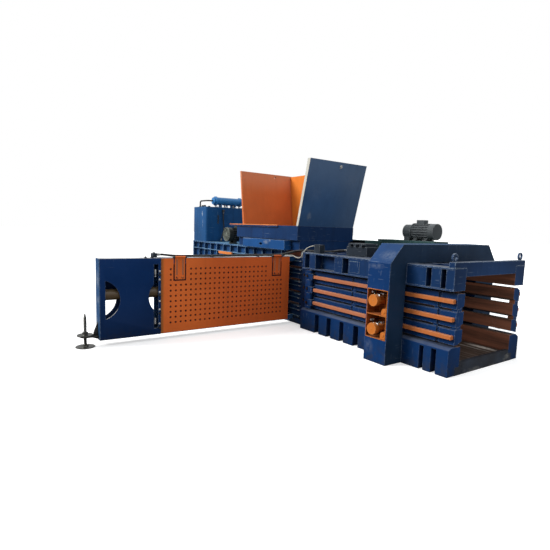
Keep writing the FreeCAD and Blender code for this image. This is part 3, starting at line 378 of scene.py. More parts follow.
m_box = paint("needle box blue paint", (0.0120, 0.0560, 0.1500), streak=0.25, wear_and_highlight=0.9, wear_and_highlight_col=(0.30, 0.38, 0.45), dust_and_sheen=0.95, dust_and_sheen_col=(0.62, 0.62, 0.61), scratch=0.5,
              spots=[((0.0, -3.875, 0.90), (0.12, 0.05, 0.16), 0.65), ((0.03, -3.875, 0.62), (0.10, 0.05, 0.07), 0.55), ((-0.02, -3.875, 0.30), (0.09, 0.05, 0.12), 0.45)])
m_hopper = paint("hopper navy paint", (0.0440, 0.1080, 0.2400), streak=0.14, wear_and_highlight=0.55, dust_and_sheen=0.4, scratch=0.14, low=0, patch_k=0.2,
                 fade=[("z", 2.05, 2.75, (0.140, 0.215, 0.340), 0.62), ("y", -0.10, 0.62, (0.120, 0.175, 0.265), 0.40)], outside=("x", -0.5, -0.7, (0.620, 0.165, 0.040)),
                 spots=[((0.14, -0.45, 1.86), (0.10, 0.07, 0.11), 0.50), ((0.105, -0.45, 1.62), (0.10, 0.06, 0.05), 0.45), ((0.23, -0.40, 2.24), (0.12, 0.20, 0.20), 0.10),
                        ((0.30, 0.35, 2.55), (0.12, 0.30, 0.25), 0.12)])
m_base = paint("hopper base paint", (0.0070, 0.0340, 0.1150), streak=0.24, wear_and_highlight=0.55, low=0)
m_sky = paint("light blue paint", (0.0100, 0.0720, 0.2350), streak=0.26, wear_and_highlight=0.95, wear_and_highlight_col=(0.34, 0.46, 0.55), low=0, dust_and_sheen=0.45,
              spots=[((-0.72, -0.76, 1.38), (0.12, 0.04, 0.05), 0.75), ((-0.60, -0.76, 1.41), (0.07, 0.04, 0.03), 0.60), ((-1.40, -0.76, 1.42), (0.25, 0.04, 0.02), 0.45)])
m_tank = paint("tank blue paint", (0.0090, 0.0720, 0.2080), streak=0.20, wear_and_highlight=0.8, wear_and_highlight_col=(0.20, 0.34, 0.46), low=0, dust_and_sheen=0.5, spec=0.15,
               spots=[((-3.72, -0.66, 1.93), (0.022, 0.03, 0.085), 1.0), ((-3.70, -0.66, 1.70), (0.010, 0.03, 0.14), 0.5)], spot_col=(0.75, 0.78, 0.80))
m_cooler = paint("cooler blue paint", (0.0260, 0.1900, 0.4700), streak=0.18, wear_and_highlight=0.7, wear_and_highlight_col=(0.30, 0.44, 0.55), low=0, rough=0.32, spec=0.35)
# the first fade paints shade: the orange darkens towards the machine's body
m_panel = paint("guard orange paint", (0.800, 0.170, 0.036), vary=0.08, streak=0.20, grime_and_shade=(0.24, 0.070, 0.022), wear_and_highlight=0.35, wear_and_highlight_col=(0.60, 0.30, 0.16), dust_and_sheen=0.3, low=0, scratch=0.10,
                dust_and_sheen_col=(0.42, 0.30, 0.22), patch_k=0.12, holes=True,
                fade=[("y", -2.7, -1.9, (0.640, 0.112, 0.026), 0.75), ("y", -2.99, -3.035, (0.28, 0.115, 0.030), 0.80)])
m_bars_l = paint("dusty orange paint", (0.360, 0.128, 0.064), vary=0.10, streak=0.12, grime_and_shade=(0.14, 0.05, 0.03), wear_and_highlight=0.55, wear_and_highlight_col=(0.62, 0.34, 0.22), dust_and_sheen=0.6,
                 dust_and_sheen_col=(0.50, 0.25, 0.16), low=0, fade=[("x", 2.30, 2.42, (0.430, 0.128, 0.034), 0.9)], patch_k=0.15)
m_orange = paint("orange paint", (0.480, 0.142, 0.024), vary=0.10, streak=0.20, grime_and_shade=(0.12, 0.040, 0.012), wear_and_highlight=0.4, wear_and_highlight_col=(0.70, 0.36, 0.16), dust_and_sheen=0.3, dust_and_sheen_col=(0.48, 0.28, 0.16), low=0, patch_k=0.15)
m_recess = paint("recess orange paint", (0.30, 0.075, 0.016), vary=0.25, streak=0.45, grime_and_shade=(0.030, 0.012, 0.006), wear_and_highlight=0.95, wear_and_highlight_col=(0.80, 0.30, 0.06), dust_and_sheen=0.25, dust_and_sheen_col=(0.30, 0.15, 0.08), low=0)
m_hopper_in = paint("hopper orange paint", (0.590, 0.158, 0.048), vary=0.06, streak=0.10, grime_and_shade=(0.22, 0.060, 0.020), wear_and_highlight=0.3, wear_and_highlight_col=(0.62, 0.30, 0.16), dust_and_sheen=0.2, dust_and_sheen_col=(0.50, 0.24, 0.14), low=0, scratch=0.08, dents=0.004,
                    fade=[("z", 2.30, 2.75, (0.640, 0.250, 0.130), 0.8)], patch_k=0.12, outside=("x", -0.5, -0.7, (0.0060, 0.030, 0.095)))
m_hopper_far = paint("hopper side orange paint", (0.760, 0.225, 0.036), vary=0.05, streak=0.10, grime_and_shade=(0.26, 0.07, 0.018), wear_and_highlight=0.3, wear_and_highlight_col=(0.70, 0.38, 0.20), dust_and_sheen=0.2, low=0, scratch=0.08, patch_k=0.12, outside=("y", 0.5, 0.7, (0.0060, 0.030, 0.095)))
m_lip = paint("lip orange paint", (0.640, 0.200, 0.050), vary=0.10, streak=0.20, grime_and_shade=(0.12, 0.040, 0.012), wear_and_highlight=0.4, wear_and_highlight_col=(0.70, 0.42, 0.25), dust_and_sheen=0.4, dust_and_sheen_col=(0.55, 0.32, 0.20), low=0, patch_k=0.15, below=(1.688, (0.0060, 0.030, 0.100)))
m_teal = paint("teal paint", (0.0400, 0.0900, 0.0900), streak=0.22, wear_and_highlight=0.7, wear_and_highlight_col=(0.24, 0.32, 0.30), dust_and_sheen=0.45, dust_and_sheen_col=(0.14, 0.20, 0.20))
m_grey = paint("motor grey paint", (0.040, 0.046, 0.042), streak=0.25, wear_and_highlight=0.6, wear_and_highlight_col=(0.20, 0.21, 0.19), low=0, rough=0.48)
m_grille = paint("grille grey paint", (0.130, 0.150, 0.125), streak=0.20, wear_and_highlight=0.8, wear_and_highlight_col=(0.34, 0.36, 0.32), low=0, rough=0.45)
m_drive = paint("drive motor grey paint", (0.085, 0.095, 0.100), streak=0.25, wear_and_highlight=0.7, wear_and_highlight_col=(0.32, 0.34, 0.35), low=0, rough=0.5)
m_brown = paint("cylinder brown paint", (0.080, 0.048, 0.018), streak=0.35, grime_and_shade=(0.012, 0.010, 0.008), wear_and_highlight=0.8, wear_and_highlight_col=(0.45, 0.36, 0.20), low=0, dust_and_sheen=0.3, dust_and_sheen_col=(0.25, 0.20, 0.13), rough=0.34, spec=0.6)
m_cream = paint("bare edge strip", (0.560, 0.545, 0.490), vary=0.06, streak=0.22, grime_and_shade=(0.20, 0.19, 0.17), wear_and_highlight=0.3, wear_and_highlight_col=(0.72, 0.71, 0.68), dust_and_sheen=0.1, low=0, scratch=0.2, patch_k=0.2)
m_dim = paint("grey fitting paint", (0.022, 0.030, 0.042), streak=0.3, wear_and_highlight=0.8, wear_and_highlight_col=(0.22, 0.24, 0.26), low=0)
# painted shade: near-black colour for the gaps round the hanger notches
m_gap_shade = paint("painted gap shade", (0.020, 0.0085, 0.0120), streak=0.3, wear_and_highlight=0.3, wear_and_highlight_col=(0.10, 0.05, 0.05), low=0, dust_and_sheen=0.2)
m_steel = steel("bright steel", base=(0.34, 0.34, 0.335))
m_zinc = steel("zinc steel", base=(0.26, 0.26, 0.255), rough=0.34, rust=0.12, grain=(1, 1, 1))
m_glint = steel("polished steel", base=(0.80, 0.80, 0.80), rough=0.25, rust=0.05, grain=(1, 1, 1))
m_dark_steel = steel("dark steel", base=(0.080, 0.078, 0.075), rough=0.42, rust=0.20, grain=(1, 1, 1))
m_foot = steel("foot steel", base=(0.115, 0.115, 0.106), rough=0.34, rust=0.12, grain=(3, 3, 0.5))
m_chrome = steel("hard chrome", base=(0.66, 0.67, 0.69), rough=0.16, rust=0.0, grain=(4, 0.3, 4))
# its two spots are painted pools of daylight on the channel floor by the outlet
m_wear = wear_plate("rubbed channel steel", spots=[((2.86, 0.46, 0.12), (0.30, 0.075, 0.05), 1.0), ((2.60, 0.33, 0.12), (0.75, 0.030, 0.05), 0.45)])
m_wear_y = wear_plate("rubbed platen steel", grain=(3.0, 0.4, 3.0))
m_sill = wear_plate("rubbed sill steel", dark=(0.010, 0.012, 0.018), mid=(0.022, 0.032, 0.052), pale=(0.26, 0.25, 0.22), grain=(1.0, 0.3, 1.0))
m_rubber = rubber("hose rubber")
m_cable = rubber("pale cable sheath", base=(0.42, 0.41, 0.35), rough=0.45)
m_black = rubber("black plastic", base=(0.008, 0.008, 0.009), rough=0.38)


# ---------------------------------------------------------------- cords
def cord_curve(name, pts, radius, material, node):
    cu = bpy.data.curves.new(name, "CURVE")
    cu.dimensions = "3D"
    sp = cu.splines.new("NURBS")
    sp.points.add(len(pts) - 1)
    for p, c in zip(sp.points, pts):
        p.co = (*c, 1.0)
    sp.order_u = 3
    sp.use_endpoint_u = True
    sp.resolution_u = 10
    cu.bevel_depth = radius
    cu.bevel_resolution = 5
    cu.use_fill_caps = True
    cu.materials.append(material)
    ob = bpy.data.objects.new(name, cu)
    scene.collection.objects.link(ob)
    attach(ob, "machine")
    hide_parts(node)
    return ob


HOSE_A = [(1.044, -0.370, 1.330), (0.930, -0.370, 1.330), (0.800, -0.398, 1.306), (0.680, -0.468, 1.283), (0.560, -0.556, 1.281),
          (0.435, -0.630, 1.282), (0.305, -0.694, 1.287), (0.175, -0.764, 1.267), (0.062, -0.868, 1.216), (0.008, -1.010, 1.192),
          (-0.008, -1.200, 1.190), (-0.020, -1.420, 1.190), (-0.016, -1.660, 1.190), (0.005, -1.900, 1.190), (0.030, -2.140, 1.190),
          (0.025, -2.380, 1.190), (-0.005, -2.620, 1.190), (-0.025, -2.840, 1.193), (-0.028, -2.970, 1.212), (-0.028, -3.070, 1.212)]
HOSE_B = [(1.044, -0.230, 1.330), (0.940, -0.230, 1.330), (0.800, -0.262, 1.304), (0.660, -0.340, 1.282), (0.520, -0.430, 1.281),
          (0.385, -0.524, 1.282), (0.250, -0.610, 1.284), (0.120, -0.700, 1.262), (0.012, -0.820, 1.210), (-0.040, -0.980, 1.192),
          (-0.062, -1.180, 1.190), (-0.072, -1.420, 1.190), (-0.069, -1.660, 1.190), (-0.045, -1.900, 1.190), (-0.022, -2.140, 1.190),
          (-0.025, -2.380, 1.190), (-0.050, -2.620, 1.190), (-0.068, -2.830, 1.193), (-0.072, -2.970, 1.212), (-0.072, -3.070, 1.212)]
TANK_HOSE = [(-3.474, -0.215, 1.990), (-3.474, -0.215, 1.925), (-3.468, -0.222, 1.830), (-3.458, -0.212, 1.710), (-3.446, -0.206, 1.600),
             (-3.436, -0.226, 1.510), (-3.426, -0.258, 1.430), (-3.421, -0.282, 1.360), (-3.420, -0.288, 1.292)]
CABLE = [(0.080, -0.925, 1.192), (0.080, -0.870, 1.193), (0.092, -0.822, 1.198), (0.122, -0.786, 1.196), (0.168, -0.768, 1.182), (0.222, -0.762, 1.163),
         (0.282, -0.762, 1.155), (0.340, -0.764, 1.166), (0.386, -0.766, 1.198), (0.417, -0.764, 1.246), (0.447, -0.754, 1.298),
         (0.490, -0.732, 1.340), (0.541, -0.706, 1.366), (0.592, -0.688, 1.376), (0.640, -0.680, 1.376)]


# ---------------------------------------------------------------- mesh helpers
def finish_piece(ob, body, replaces=()):
    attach(ob, body)
    if replaces:
        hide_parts(*replaces)
    return ob


def to_object(name, bm, material, body, replaces=(), bevel=0.0, segs=2, angle=30.0, recalc=True):
    if recalc:
        bmesh.ops.recalc_face_normals(bm, faces=bm.faces)
    lim = math.radians(angle)
    for f in bm.faces:
        f.smooth = True
    for e in bm.edges:
        e.smooth = len(e.link_faces) == 2 and e.calc_face_angle(0.0) < lim
    me = bpy.data.meshes.new(name)
    bm.to_mesh(me)
    bm.free()
    if "custom_normal" in me.attributes:
        me.attributes.remove(me.attributes["custom_normal"])
    for m in (material if isinstance(material, (list, tuple)) else [material]):
        me.materials.append(m)
    ob = bpy.data.objects.new(name, me)
    scene.collection.objects.link(ob)
    if bevel > 0:
        b = ob.modifiers.new("bevel", "BEVEL")
        b.width = bevel
        b.segments = segs
        b.limit_method = "ANGLE"
        b.angle_limit = lim
        b.harden_normals = True
        b.loop_slide = False
        b.miter_outer = "MITER_ARC"
    return finish_piece(ob, body, replaces)


PIERCED = ("base_frame", "tunnel_roof", "side_box_beam", "valve_manifold", "guard_hangers")


def refined(node, material, bevel=0.004, segs=2, name=None, angle=30.0):
    """the CAD node's own shape with merged faces and rounded edges"""
    bm = bmesh.new()
    bm.from_mesh(N[node].data)
    if node == "main_motor":
        # the shaft turns inside the motor: keep the bore's facets off it
        for v in bm.verts:
            dx, dz = v.co.x + 2.4, v.co.z - 1.47
            r = math.hypot(dx, dz)
            if 0.020 < r < 0.0242:
                v.co.x, v.co.z = -2.4 + dx / r * 0.0252, 1.47 + dz / r * 0.0252
    bmesh.ops.remove_doubles(bm, verts=bm.verts, dist=2e-5)
    if node in PIERCED:
        # plates with windows keep small faces, because one face can't hold a window
        bmesh.ops.join_triangles(bm, faces=bm.faces, angle_face_threshold=math.radians(0.4), angle_shape_threshold=math.radians(60))
    else:
        bmesh.ops.dissolve_limit(bm, angle_limit=math.radians(0.4), verts=bm.verts, edges=bm.edges)
    for f in bm.faces:
        f.material_index = 0
    return to_object(name or node + "_body", bm, material, BODY[node], [node], bevel, segs, angle, False)


def union(adds, cuts=()):
    """outer surface of a union of upright boxes (mm), less some boxes"""
    def axis(i):
        return sorted({round(b[i + k], 3) for b in list(adds) + list(cuts) for k in (0, 1)})
    xs, ys, zs = axis(0), axis(2), axis(4)
    solid = {}
    for i in range(len(xs) - 1):
        cx = (xs[i] + xs[i + 1]) / 2
        ax = [b for b in adds if b[0] < cx < b[1]]
        if not ax:
            continue
        cutx = [b for b in cuts if b[0] < cx < b[1]]
        for j in range(len(ys) - 1):
            cy = (ys[j] + ys[j + 1]) / 2
            ay = [b for b in ax if b[2] < cy < b[3]]
            if not ay:
                continue
            cuty = [b for b in cutx if b[2] < cy < b[3]]
            for k in range(len(zs) - 1):
                cz = (zs[k] + zs[k + 1]) / 2
                if any(b[4] < cz < b[5] for b in ay) and not any(b[4] < cz < b[5] for b in cuty):
                    solid[i, j, k] = True
    bm = bmesh.new()
    verts = {}

    def v(i, j, k):
        if (i, j, k) not in verts:
            verts[i, j, k] = bm.verts.new((xs[i] / 1000, ys[j] / 1000, zs[k] / 1000))
        return verts[i, j, k]
    for i, j, k in solid:
        for d, q in (((-1, 0, 0), ((0, 0, 0), (0, 0, 1), (0, 1, 1), (0, 1, 0))), ((1, 0, 0), ((1, 0, 0), (1, 1, 0), (1, 1, 1), (1, 0, 1))),
                     ((0, -1, 0), ((0, 0, 0), (1, 0, 0), (1, 0, 1), (0, 0, 1))), ((0, 1, 0), ((0, 1, 0), (0, 1, 1), (1, 1, 1), (1, 1, 0))),
                     ((0, 0, -1), ((0, 0, 0), (0, 1, 0), (1, 1, 0), (1, 0, 0))), ((0, 0, 1), ((0, 0, 1), (1, 0, 1), (1, 1, 1), (0, 1, 1)))):
            if (i + d[0], j + d[1], k + d[2]) not in solid:
                bm.faces.new([v(i + a, j + b, k + c) for a, b, c in q])
    return bm


def tidy(bm, merge=True):
    bmesh.ops.remove_doubles(bm, verts=bm.verts, dist=2e-5)
    bmesh.ops.dissolve_degenerate(bm, dist=1e-5, edges=bm.edges)
    if merge:
        bmesh.ops.dissolve_limit(bm, angle_limit=math.radians(0.4), verts=bm.verts, edges=bm.edges)
    return bm


def prism(bm, pts, a, b, plane="yz"):
    """closed profile (mm) between two stations along the third axis"""
    def at(p, q):
        if plane == "yz":
            return (q / 1000, p[0] / 1000, p[1] / 1000)
        if plane == "xz":
            return (p[0] / 1000, q / 1000, p[1] / 1000)
        return (p[0] / 1000, p[1] / 1000, q / 1000)
    lo = [bm.verts.new(at(p, a)) for p in pts]
    hi = [bm.verts.new(at(p, b)) for p in pts]
    bm.faces.new(lo)
    bm.faces.new(hi)
    n = len(pts)
    for i in range(n):
        bm.faces.new((lo[i], lo[(i + 1) % n], hi[(i + 1) % n], hi[i]))


def block(bm, x0, x1, y0, y1, z0, z1):
    prism(bm, [(y0, z0), (y1, z0), (y1, z1), (y0, z1)], x0, x1)


def basis(axis):
    w = Vector(axis).normalized()
    u = w.orthogonal().normalized()
    return u, w.cross(u), w


def lathe(bm, origin, axis, profile, segs=32):
    """profile of (distance along axis, radius) in mm, turned about the axis"""
    u, v, w = basis(axis)
    o = Vector(origin)
    rings = []
    for d, r in profile:
        if r < 1e-6:
            rings.append([bm.verts.new((o + w * d) / 1000)])
        else:
            rings.append([bm.verts.new((o + w * d + u * (r * math.cos(2 * math.pi * i / segs)) + v * (r * math.sin(2 * math.pi * i / segs))) / 1000) for i in range(segs)])
    for a, b in zip(rings, rings[1:]):
        for i in range(segs):
            j = (i + 1) % segs
            if len(a) == 1 and len(b) == 1:
                continue
            if len(a) == 1:
                bm.faces.new((a[0], b[i], b[j]))
            elif len(b) == 1:
                bm.faces.new((a[i], a[j], b[0]))
            else:
                bm.faces.new((a[i], a[j], b[j], b[i]))
    if len(rings[0]) > 1 and len(rings[-1]) > 1 and profile[0] == profile[-1]:
        bmesh.ops.remove_doubles(bm, verts=rings[0] + rings[-1], dist=1e-7)
    return rings


def hexhead(bm, base, axis, af, h, washer=True):
    """bolt head with a bevelled crown on a washer"""
    u, v, w = basis(axis)
    o = Vector(base)
    r = af / math.sqrt(3)
    if washer:
        lathe(bm, o, axis, [(-0.5, 0), (-0.5, af * 0.62), (2.5, af * 0.66), (2.5, 0)], 24)
        o = o + w * 2.0
        h = h - 2.0
    rings = []
    for d, k in ((0, 1.0), (h * 0.82, 1.0), (h, 0.86)):
        rings.append([bm.verts.new((o + w * d + (u * math.cos(math.pi / 3 * i) + v * math.sin(math.pi / 3 * i)) * r * k) / 1000) for i in range(6)])
    for a, b in zip(rings, rings[1:]):
        for i in range(6):
            bm.faces.new((a[i], a[(i + 1) % 6], b[(i + 1) % 6], b[i]))
    bm.faces.new(rings[-1])
    bm.faces.new(rings[0])


def tube(bm, pts, r, bend, segs=14):
    """rigid steel tube with one bend radius"""
    P = [Vector(p) for p in pts]
    line = [P[0]]
    for i in range(1, len(P) - 1):
        a, b = (P[i] - P[i - 1]).normalized(), (P[i + 1] - P[i]).normalized()
        turn = a.angle(b)
        if turn < 1e-3:
            continue
        cutl = bend * math.tan(turn / 2)
        s = P[i] - a * cutl
        n = a.cross(b).normalized()
        c = s + n.cross(a).normalized() * bend
        k = max(3, int(math.degrees(turn) / 12))
        for q in range(k + 1):
            line.append(c + Matrix.Rotation(turn * q / k, 3, n) @ (s - c))
    line.append(P[-1])
    prev_u = None
    rings = []
    for i, p in enumerate(line):
        t = (line[min(i + 1, len(line) - 1)] - line[max(i - 1, 0)]).normalized()
        if prev_u is None:
            prev_u = t.orthogonal().normalized()
        prev_u = (prev_u - t * prev_u.dot(t)).normalized()
        v = t.cross(prev_u)
        rings.append([bm.verts.new((p + (prev_u * math.cos(2 * math.pi * j / segs) + v * math.sin(2 * math.pi * j / segs)) * r) / 1000) for j in range(segs)])
    for a, b in zip(rings, rings[1:]):
        for j in range(segs):
            bm.faces.new((a[j], a[(j + 1) % segs], b[(j + 1) % segs], b[j]))
    bm.faces.new(rings[0])
    bm.faces.new(rings[-1])


def bead(bm, a, b, r=5.0, pitch=14.0):
    """weld bead: a low ribbed ridge between two points (mm)"""
    A, B = Vector(a), Vector(b)
    n = max(4, int((B - A).length / pitch))
    u, v, w = basis(B - A)
    rings = []
    for i in range(n * 2 + 1):
        t = i / (n * 2)
        k = r * (1.12 if i % 2 else 0.90) * (1.0 + 0.08 * math.sin(i * 2.3))
        p = A.lerp(B, t)
        rings.append([bm.verts.new((p + (u * math.cos(math.pi / 3 * j) + v * math.sin(math.pi / 3 * j)) * k) / 1000) for j in range(6)])
    for p, q in zip(rings, rings[1:]):
        for j in range(6):
            bm.faces.new((p[j], p[(j + 1) % 6], q[(j + 1) % 6], q[j]))
    bm.faces.new(rings[0])
    bm.faces.new(rings[-1])


def sheet2d(name, outline, holes, thick, edge, place, material, body, replaces=()):
    """flat plate with cut-outs from outlines in mm; place maps its plane and thickness into the row frame"""
    cu = bpy.data.curves.new(name, "CURVE")
    cu.dimensions = "2D"
    cu.fill_mode = "BOTH"
    for pts in [outline] + list(holes):
        sp = cu.splines.new("POLY")
        sp.points.add(len(pts) - 1)
        for p, c in zip(sp.points, pts):
            p.co = (c[0] / 1000, c[1] / 1000, 0, 1)
        sp.use_cyclic_u = True
    cu.extrude = (thick / 2 - edge) / 1000
    cu.bevel_depth = edge / 1000
    cu.bevel_resolution = 1
    cu.offset = -edge / 1000
    tmp = bpy.data.objects.new(name + "_outline", cu)
    scene.collection.objects.link(tmp)
    bpy.context.view_layer.update()
    dg = bpy.context.evaluated_depsgraph_get()
    me = bpy.data.meshes.new_from_object(tmp.evaluated_get(dg))
    bpy.data.objects.remove(tmp)
    bm = bmesh.new()
    bm.from_mesh(me)
    bpy.data.meshes.remove(me)
    bmesh.ops.transform(bm, matrix=place, verts=bm.verts)
    bmesh.ops.remove_doubles(bm, verts=bm.verts, dist=1e-5)
    bmesh.ops.dissolve_limit(bm, angle_limit=math.radians(0.4), verts=bm.verts, edges=bm.edges)
    for f in bm.faces:
        f.material_index = 0
    return to_object(name, bm, material, body, replaces, 0.0)


def arc(cy, cz, r, a0, a1, n=28):
    return [(cy + r * math.cos(math.radians(a0 + (a1 - a0) * i / n)), cz + r * math.sin(math.radians(a0 + (a1 - a0) * i / n))) for i in range(n + 1)]


def mirrored(boxes):
    return [(b[0], b[1], -b[3], -b[2], b[4], b[5]) for b in boxes]


# ---------------------------------------------------------------- the four flexible leads
def sleeve(name, origin, axis, r0, r1, length, material):
    """tapered strain relief or crimped ferrule with rings"""
    bm = bmesh.new()
    prof = [(0, r1), (0, r0)]
    k = 5
    for i in range(k):
        t0, t1 = i / k, (i + 0.62) / k
        ra, rb = r0 + (r1 + 1.4 - r0) * t0, r0 + (r1 + 1.4 - r0) * t1
        prof += [(length * t0, ra), (length * t1, rb), (length * t1 + 0.8, rb - 0.9), (length * (i + 1) / k - 0.8, rb - 1.1)]
    prof += [(length, r1 + 1.0), (length, r1)]
    lathe(bm, origin, axis, prof, 24)
    return to_object(name, bm, material, "machine")


ends = {
    "a": [sleeve("hose_a_ferrule_front", (1044, -370, 1330), (-1, 0, 0), 21, 15.2, 62, m_zinc),
          sleeve("hose_a_ferrule_rear", (-28, -3070, 1212), (0, 1, 0), 20, 15.2, 55, m_zinc)],
    "b": [sleeve("hose_b_ferrule_front", (1044, -230, 1330), (-1, 0, 0), 21, 15.2, 62, m_zinc),
          sleeve("hose_b_ferrule_rear", (-72, -3070, 1212), (0, 1, 0), 20, 15.2, 55, m_zinc)],
    "t": [sleeve("tank_hose_ferrule_top", (-3474, -215, 1990), (0, 0, -1), 19, 13.2, 50, m_zinc),
          sleeve("tank_hose_ferrule_foot", (-3420, -288, 1294), (0, 0.06, 1), 19, 13.2, 48, m_zinc)],
    "c": [sleeve("cable_relief_box", (640, -680, 1376), (-1, 0, 0), 14, 8.2, 34, m_black),
          sleeve("cable_relief_gland", (80, -925, 1192), (0, 1, 0), 13, 8.2, 30, m_black)],
}
cord_curve("needle_hose_a_line", HOSE_A, 0.015, m_rubber, "needle_hose_a")
cord_curve("needle_hose_b_line", HOSE_B, 0.015, m_rubber, "needle_hose_b")
cord_curve("tank_hose_line", TANK_HOSE, 0.013, m_rubber, "tank_hose")
cord_curve("control_cable_line", CABLE, 0.008, m_cable, "control_cable")

# ---------------------------------------------------------------- nodes that keep their own shape, with rounded edges
for node, material, width in (
        ("base_frame", m_blue, 0.002), ("press_walls", m_wall, 0.003), ("rear_deck", m_wall, 0.004), ("tunnel_roof", m_blue, 0.002),
        ("hinge_posts", m_blue, 0.004), ("outlet_head_beam", m_band, 0.005), ("shear_blade", m_steel, 0.003),
        ("door_bars_near", m_bars_l, 0.006), ("door_bars_far", m_bars_l, 0.006), ("hopper_rear_panel", m_hopper_in, 0.004),
        ("hopper_front_panel", m_hopper, 0.005), ("hopper_far_panel", m_hopper_far, 0.004), ("feed_lip_and_step", m_lip, 0.003),
        ("side_box_beam", m_sky, 0.005), ("oil_tank", m_tank, 0.003), ("tank_lid", m_tank, 0.003), ("oil_cooler", m_cooler, 0.003),
        ("suction_pipe", m_black, 0.002), ("main_motor", m_grey, 0.0015), ("pump_unit", m_grey, 0.003), ("valve_manifold", m_dim, 0.002),
        ("knotter_shaft", m_steel, 0.002), ("knotter_drive_motor", m_drive, 0.0015), ("needle_cylinder", m_brown, 0.003),
        ("needle_carriage", m_brown, 0.003), ("tying_needles", m_steel, 0.0015), ("guard_hangers", m_panel, 0.001), ("foot_nut", m_foot, 0.002),
        ("foot_screw", m_foot, 0.0), ("main_cylinder", m_blue, 0.004), ("ram_platens", m_wear_y, 0.006), ("hose_fittings", m_dim, 0.002),
        ("tension_cylinders", m_orange, 0.005), ("hinge_pins", m_steel, 0.002)):
    if node != "foot_screw":
        refined(node, material, width)

# ---------------------------------------------------------------- nodes rebuilt without seams between their plates
# tension frame: one welded ring with two side recesses
XF0, XF1, XI0, XI1 = 2165, 2520, 2180, 2505
fr_add = [(XF0, XF1, -1089, 1250, 0, 96), (XF0, XF1, -1089, -790, 96, 1262), (XF0, XF1, 790, 1250, 96, 1262), (XF0, XF1, -1089, 1250, 1262, 1497)]
fr_cut = [(XI0, XI1, -1089, -850, 310, 930), (XI0, XI1, 1010, 1250, 310, 930), (XF0, XF1, -1090, -1088.999, 1265, 1266), (XF0, XF1, -869.001, -869, 1600, 1601), (XF0, XF1, 1060, 1060.001, 1600, 1601)]
bm = union(fr_add + [(XF0, XF1, -869, 1060, 1262, 1497), (XF0, XF1, -1089, 1250, 1262, 1265)], fr_cut[:2])
for v in bm.verts:
    if abs(v.co.z - 1.497) < 1e-5 and (abs(v.co.y + 1.089) < 1e-5 or abs(v.co.y - 1.250) < 1e-5):
        v.co.z = 1.265
tidy(bm)
frame_ob = to_object("tension_frame_ring", bm, m_frame, "machine", ["tension_frame"], 0.006, 3)
# bores of the tension cylinders
for i, z in enumerate((427, 788)):
    for s in (-1, 1):
        cb_ = bmesh.new()
        lathe(cb_, (2300, s * (780 if s < 0 else 780), z), (0, s, 0), [(0, 0), (0, 55.5), (80 if s < 0 else 240, 55.5), (80 if s < 0 else 240, 0)], 40)
        bmesh.ops.recalc_face_normals(cb_, faces=cb_.faces)
        cme = bpy.data.meshes.new("bore")
        cb_.to_mesh(cme)
        cb_.free()
        cut = bpy.data.objects.new("bore_%d_%d" % (i, s), cme)
        scene.collection.objects.link(cut)
        mo = frame_ob.modifiers.new("bore", "BOOLEAN")
        mo.operation = "DIFFERENCE"
        mo.object = cut
        mo.solver = "EXACT"
        frame_ob.modifiers.move(len(frame_ob.modifiers) - 1, 0)
bpy.context.view_layer.update()
dg = bpy.context.evaluated_depsgraph_get()
ev = frame_ob.evaluated_get(dg)
keep = bpy.data.meshes.new_from_object(ev)
old = frame_ob.data
frame_ob.modifiers.clear()
frame_ob.data = keep
bpy.data.meshes.remove(old)
for o in [o for o in scene.objects if o.name.startswith("bore_")]:
    bpy.data.objects.remove(o)

# upper side bands
ub = [(285, 3175, -585, -560, 1000, 1262), (500, 3175, -650, -585, 1018, 1242), (440, 3175, -790, -585, 1000, 1018),
      (440, 3175, -790, -585, 1242, 1262), (440, 500, -786, -585, 1018, 1242)]
for a, b in ((614, 763), (1202, 1373), (1496, 1898), (2080, 2240), (2400, 2805), (2873, 3004), (3067, 3175)):
    ub.append((a, b, -786, -650, 1018, 1242))
to_object("upper_band_near", tidy(union(ub)), m_band, "machine", ["upper_bands"], 0.004)
to_object("upper_band_far", tidy(union(mirrored(ub))), m_band, "machine", (), 0.004)

# tie combs
for side, nm in ((-1, "near"), (1, "far")):
    cbx = [(-330, -290, -668, -560, 120, 1160), (285, 440, -668, -560, 120, 1000)]
    lo = 120
    for z in (357, 566, 775, 984):
        cbx.append((-290, 285, -668, -560, lo, z - 22))
        for x0, x1 in ((-290, -200), (200, 285)):
            cbx.append((x0, x1, -640, -600, z - 22, z + 22))
        lo = z + 22
    cbx.append((-290, 285, -668, -560, lo, 1160))
    to_object("tie_comb_" + nm, tidy(union(cbx if side < 0 else mirrored(cbx))), m_comb, "machine", ["tie_combs"] if side < 0 else (), 0.007, 3)

# lower bands: pockets that are open below, and a sloped outer top edge
for s, nm, by, bz in ((-1, "near", 40, 27), (1, "far", 68, 41)):
    adds = [(440, 3175, -790, -640, 0, 96), (440, 3175, -790, -560, 96, 345)]
    cuts = [(2165, 2520, -790, -500, 0, 96), (440, 3175, -790, -790 + by, 345 - bz, 345)]
    for a, b in ((809, 906), (1093, 1184), (1380, 1463), (1665, 1762), (2784, 2839), (2948, 3014)):
        cuts.append((a, b, -790, -690, 0, 296))
    if s > 0:
        adds, cuts = mirrored(adds), mirrored(cuts)
    bm = union(adds, cuts)
    for v in bm.verts:
        if abs(abs(v.co.y) * 1000 - (790 - by)) < 0.1 and abs(v.co.z * 1000 - (345 - bz)) < 0.1:
            v.co.y, v.co.z = s * (790 - by / 2) / 1000, (345 - bz / 2) / 1000
    to_object("lower_band_" + nm, tidy(bm, False), m_blue, "machine", ["lower_bands"] if s < 0 else (), 0.006)

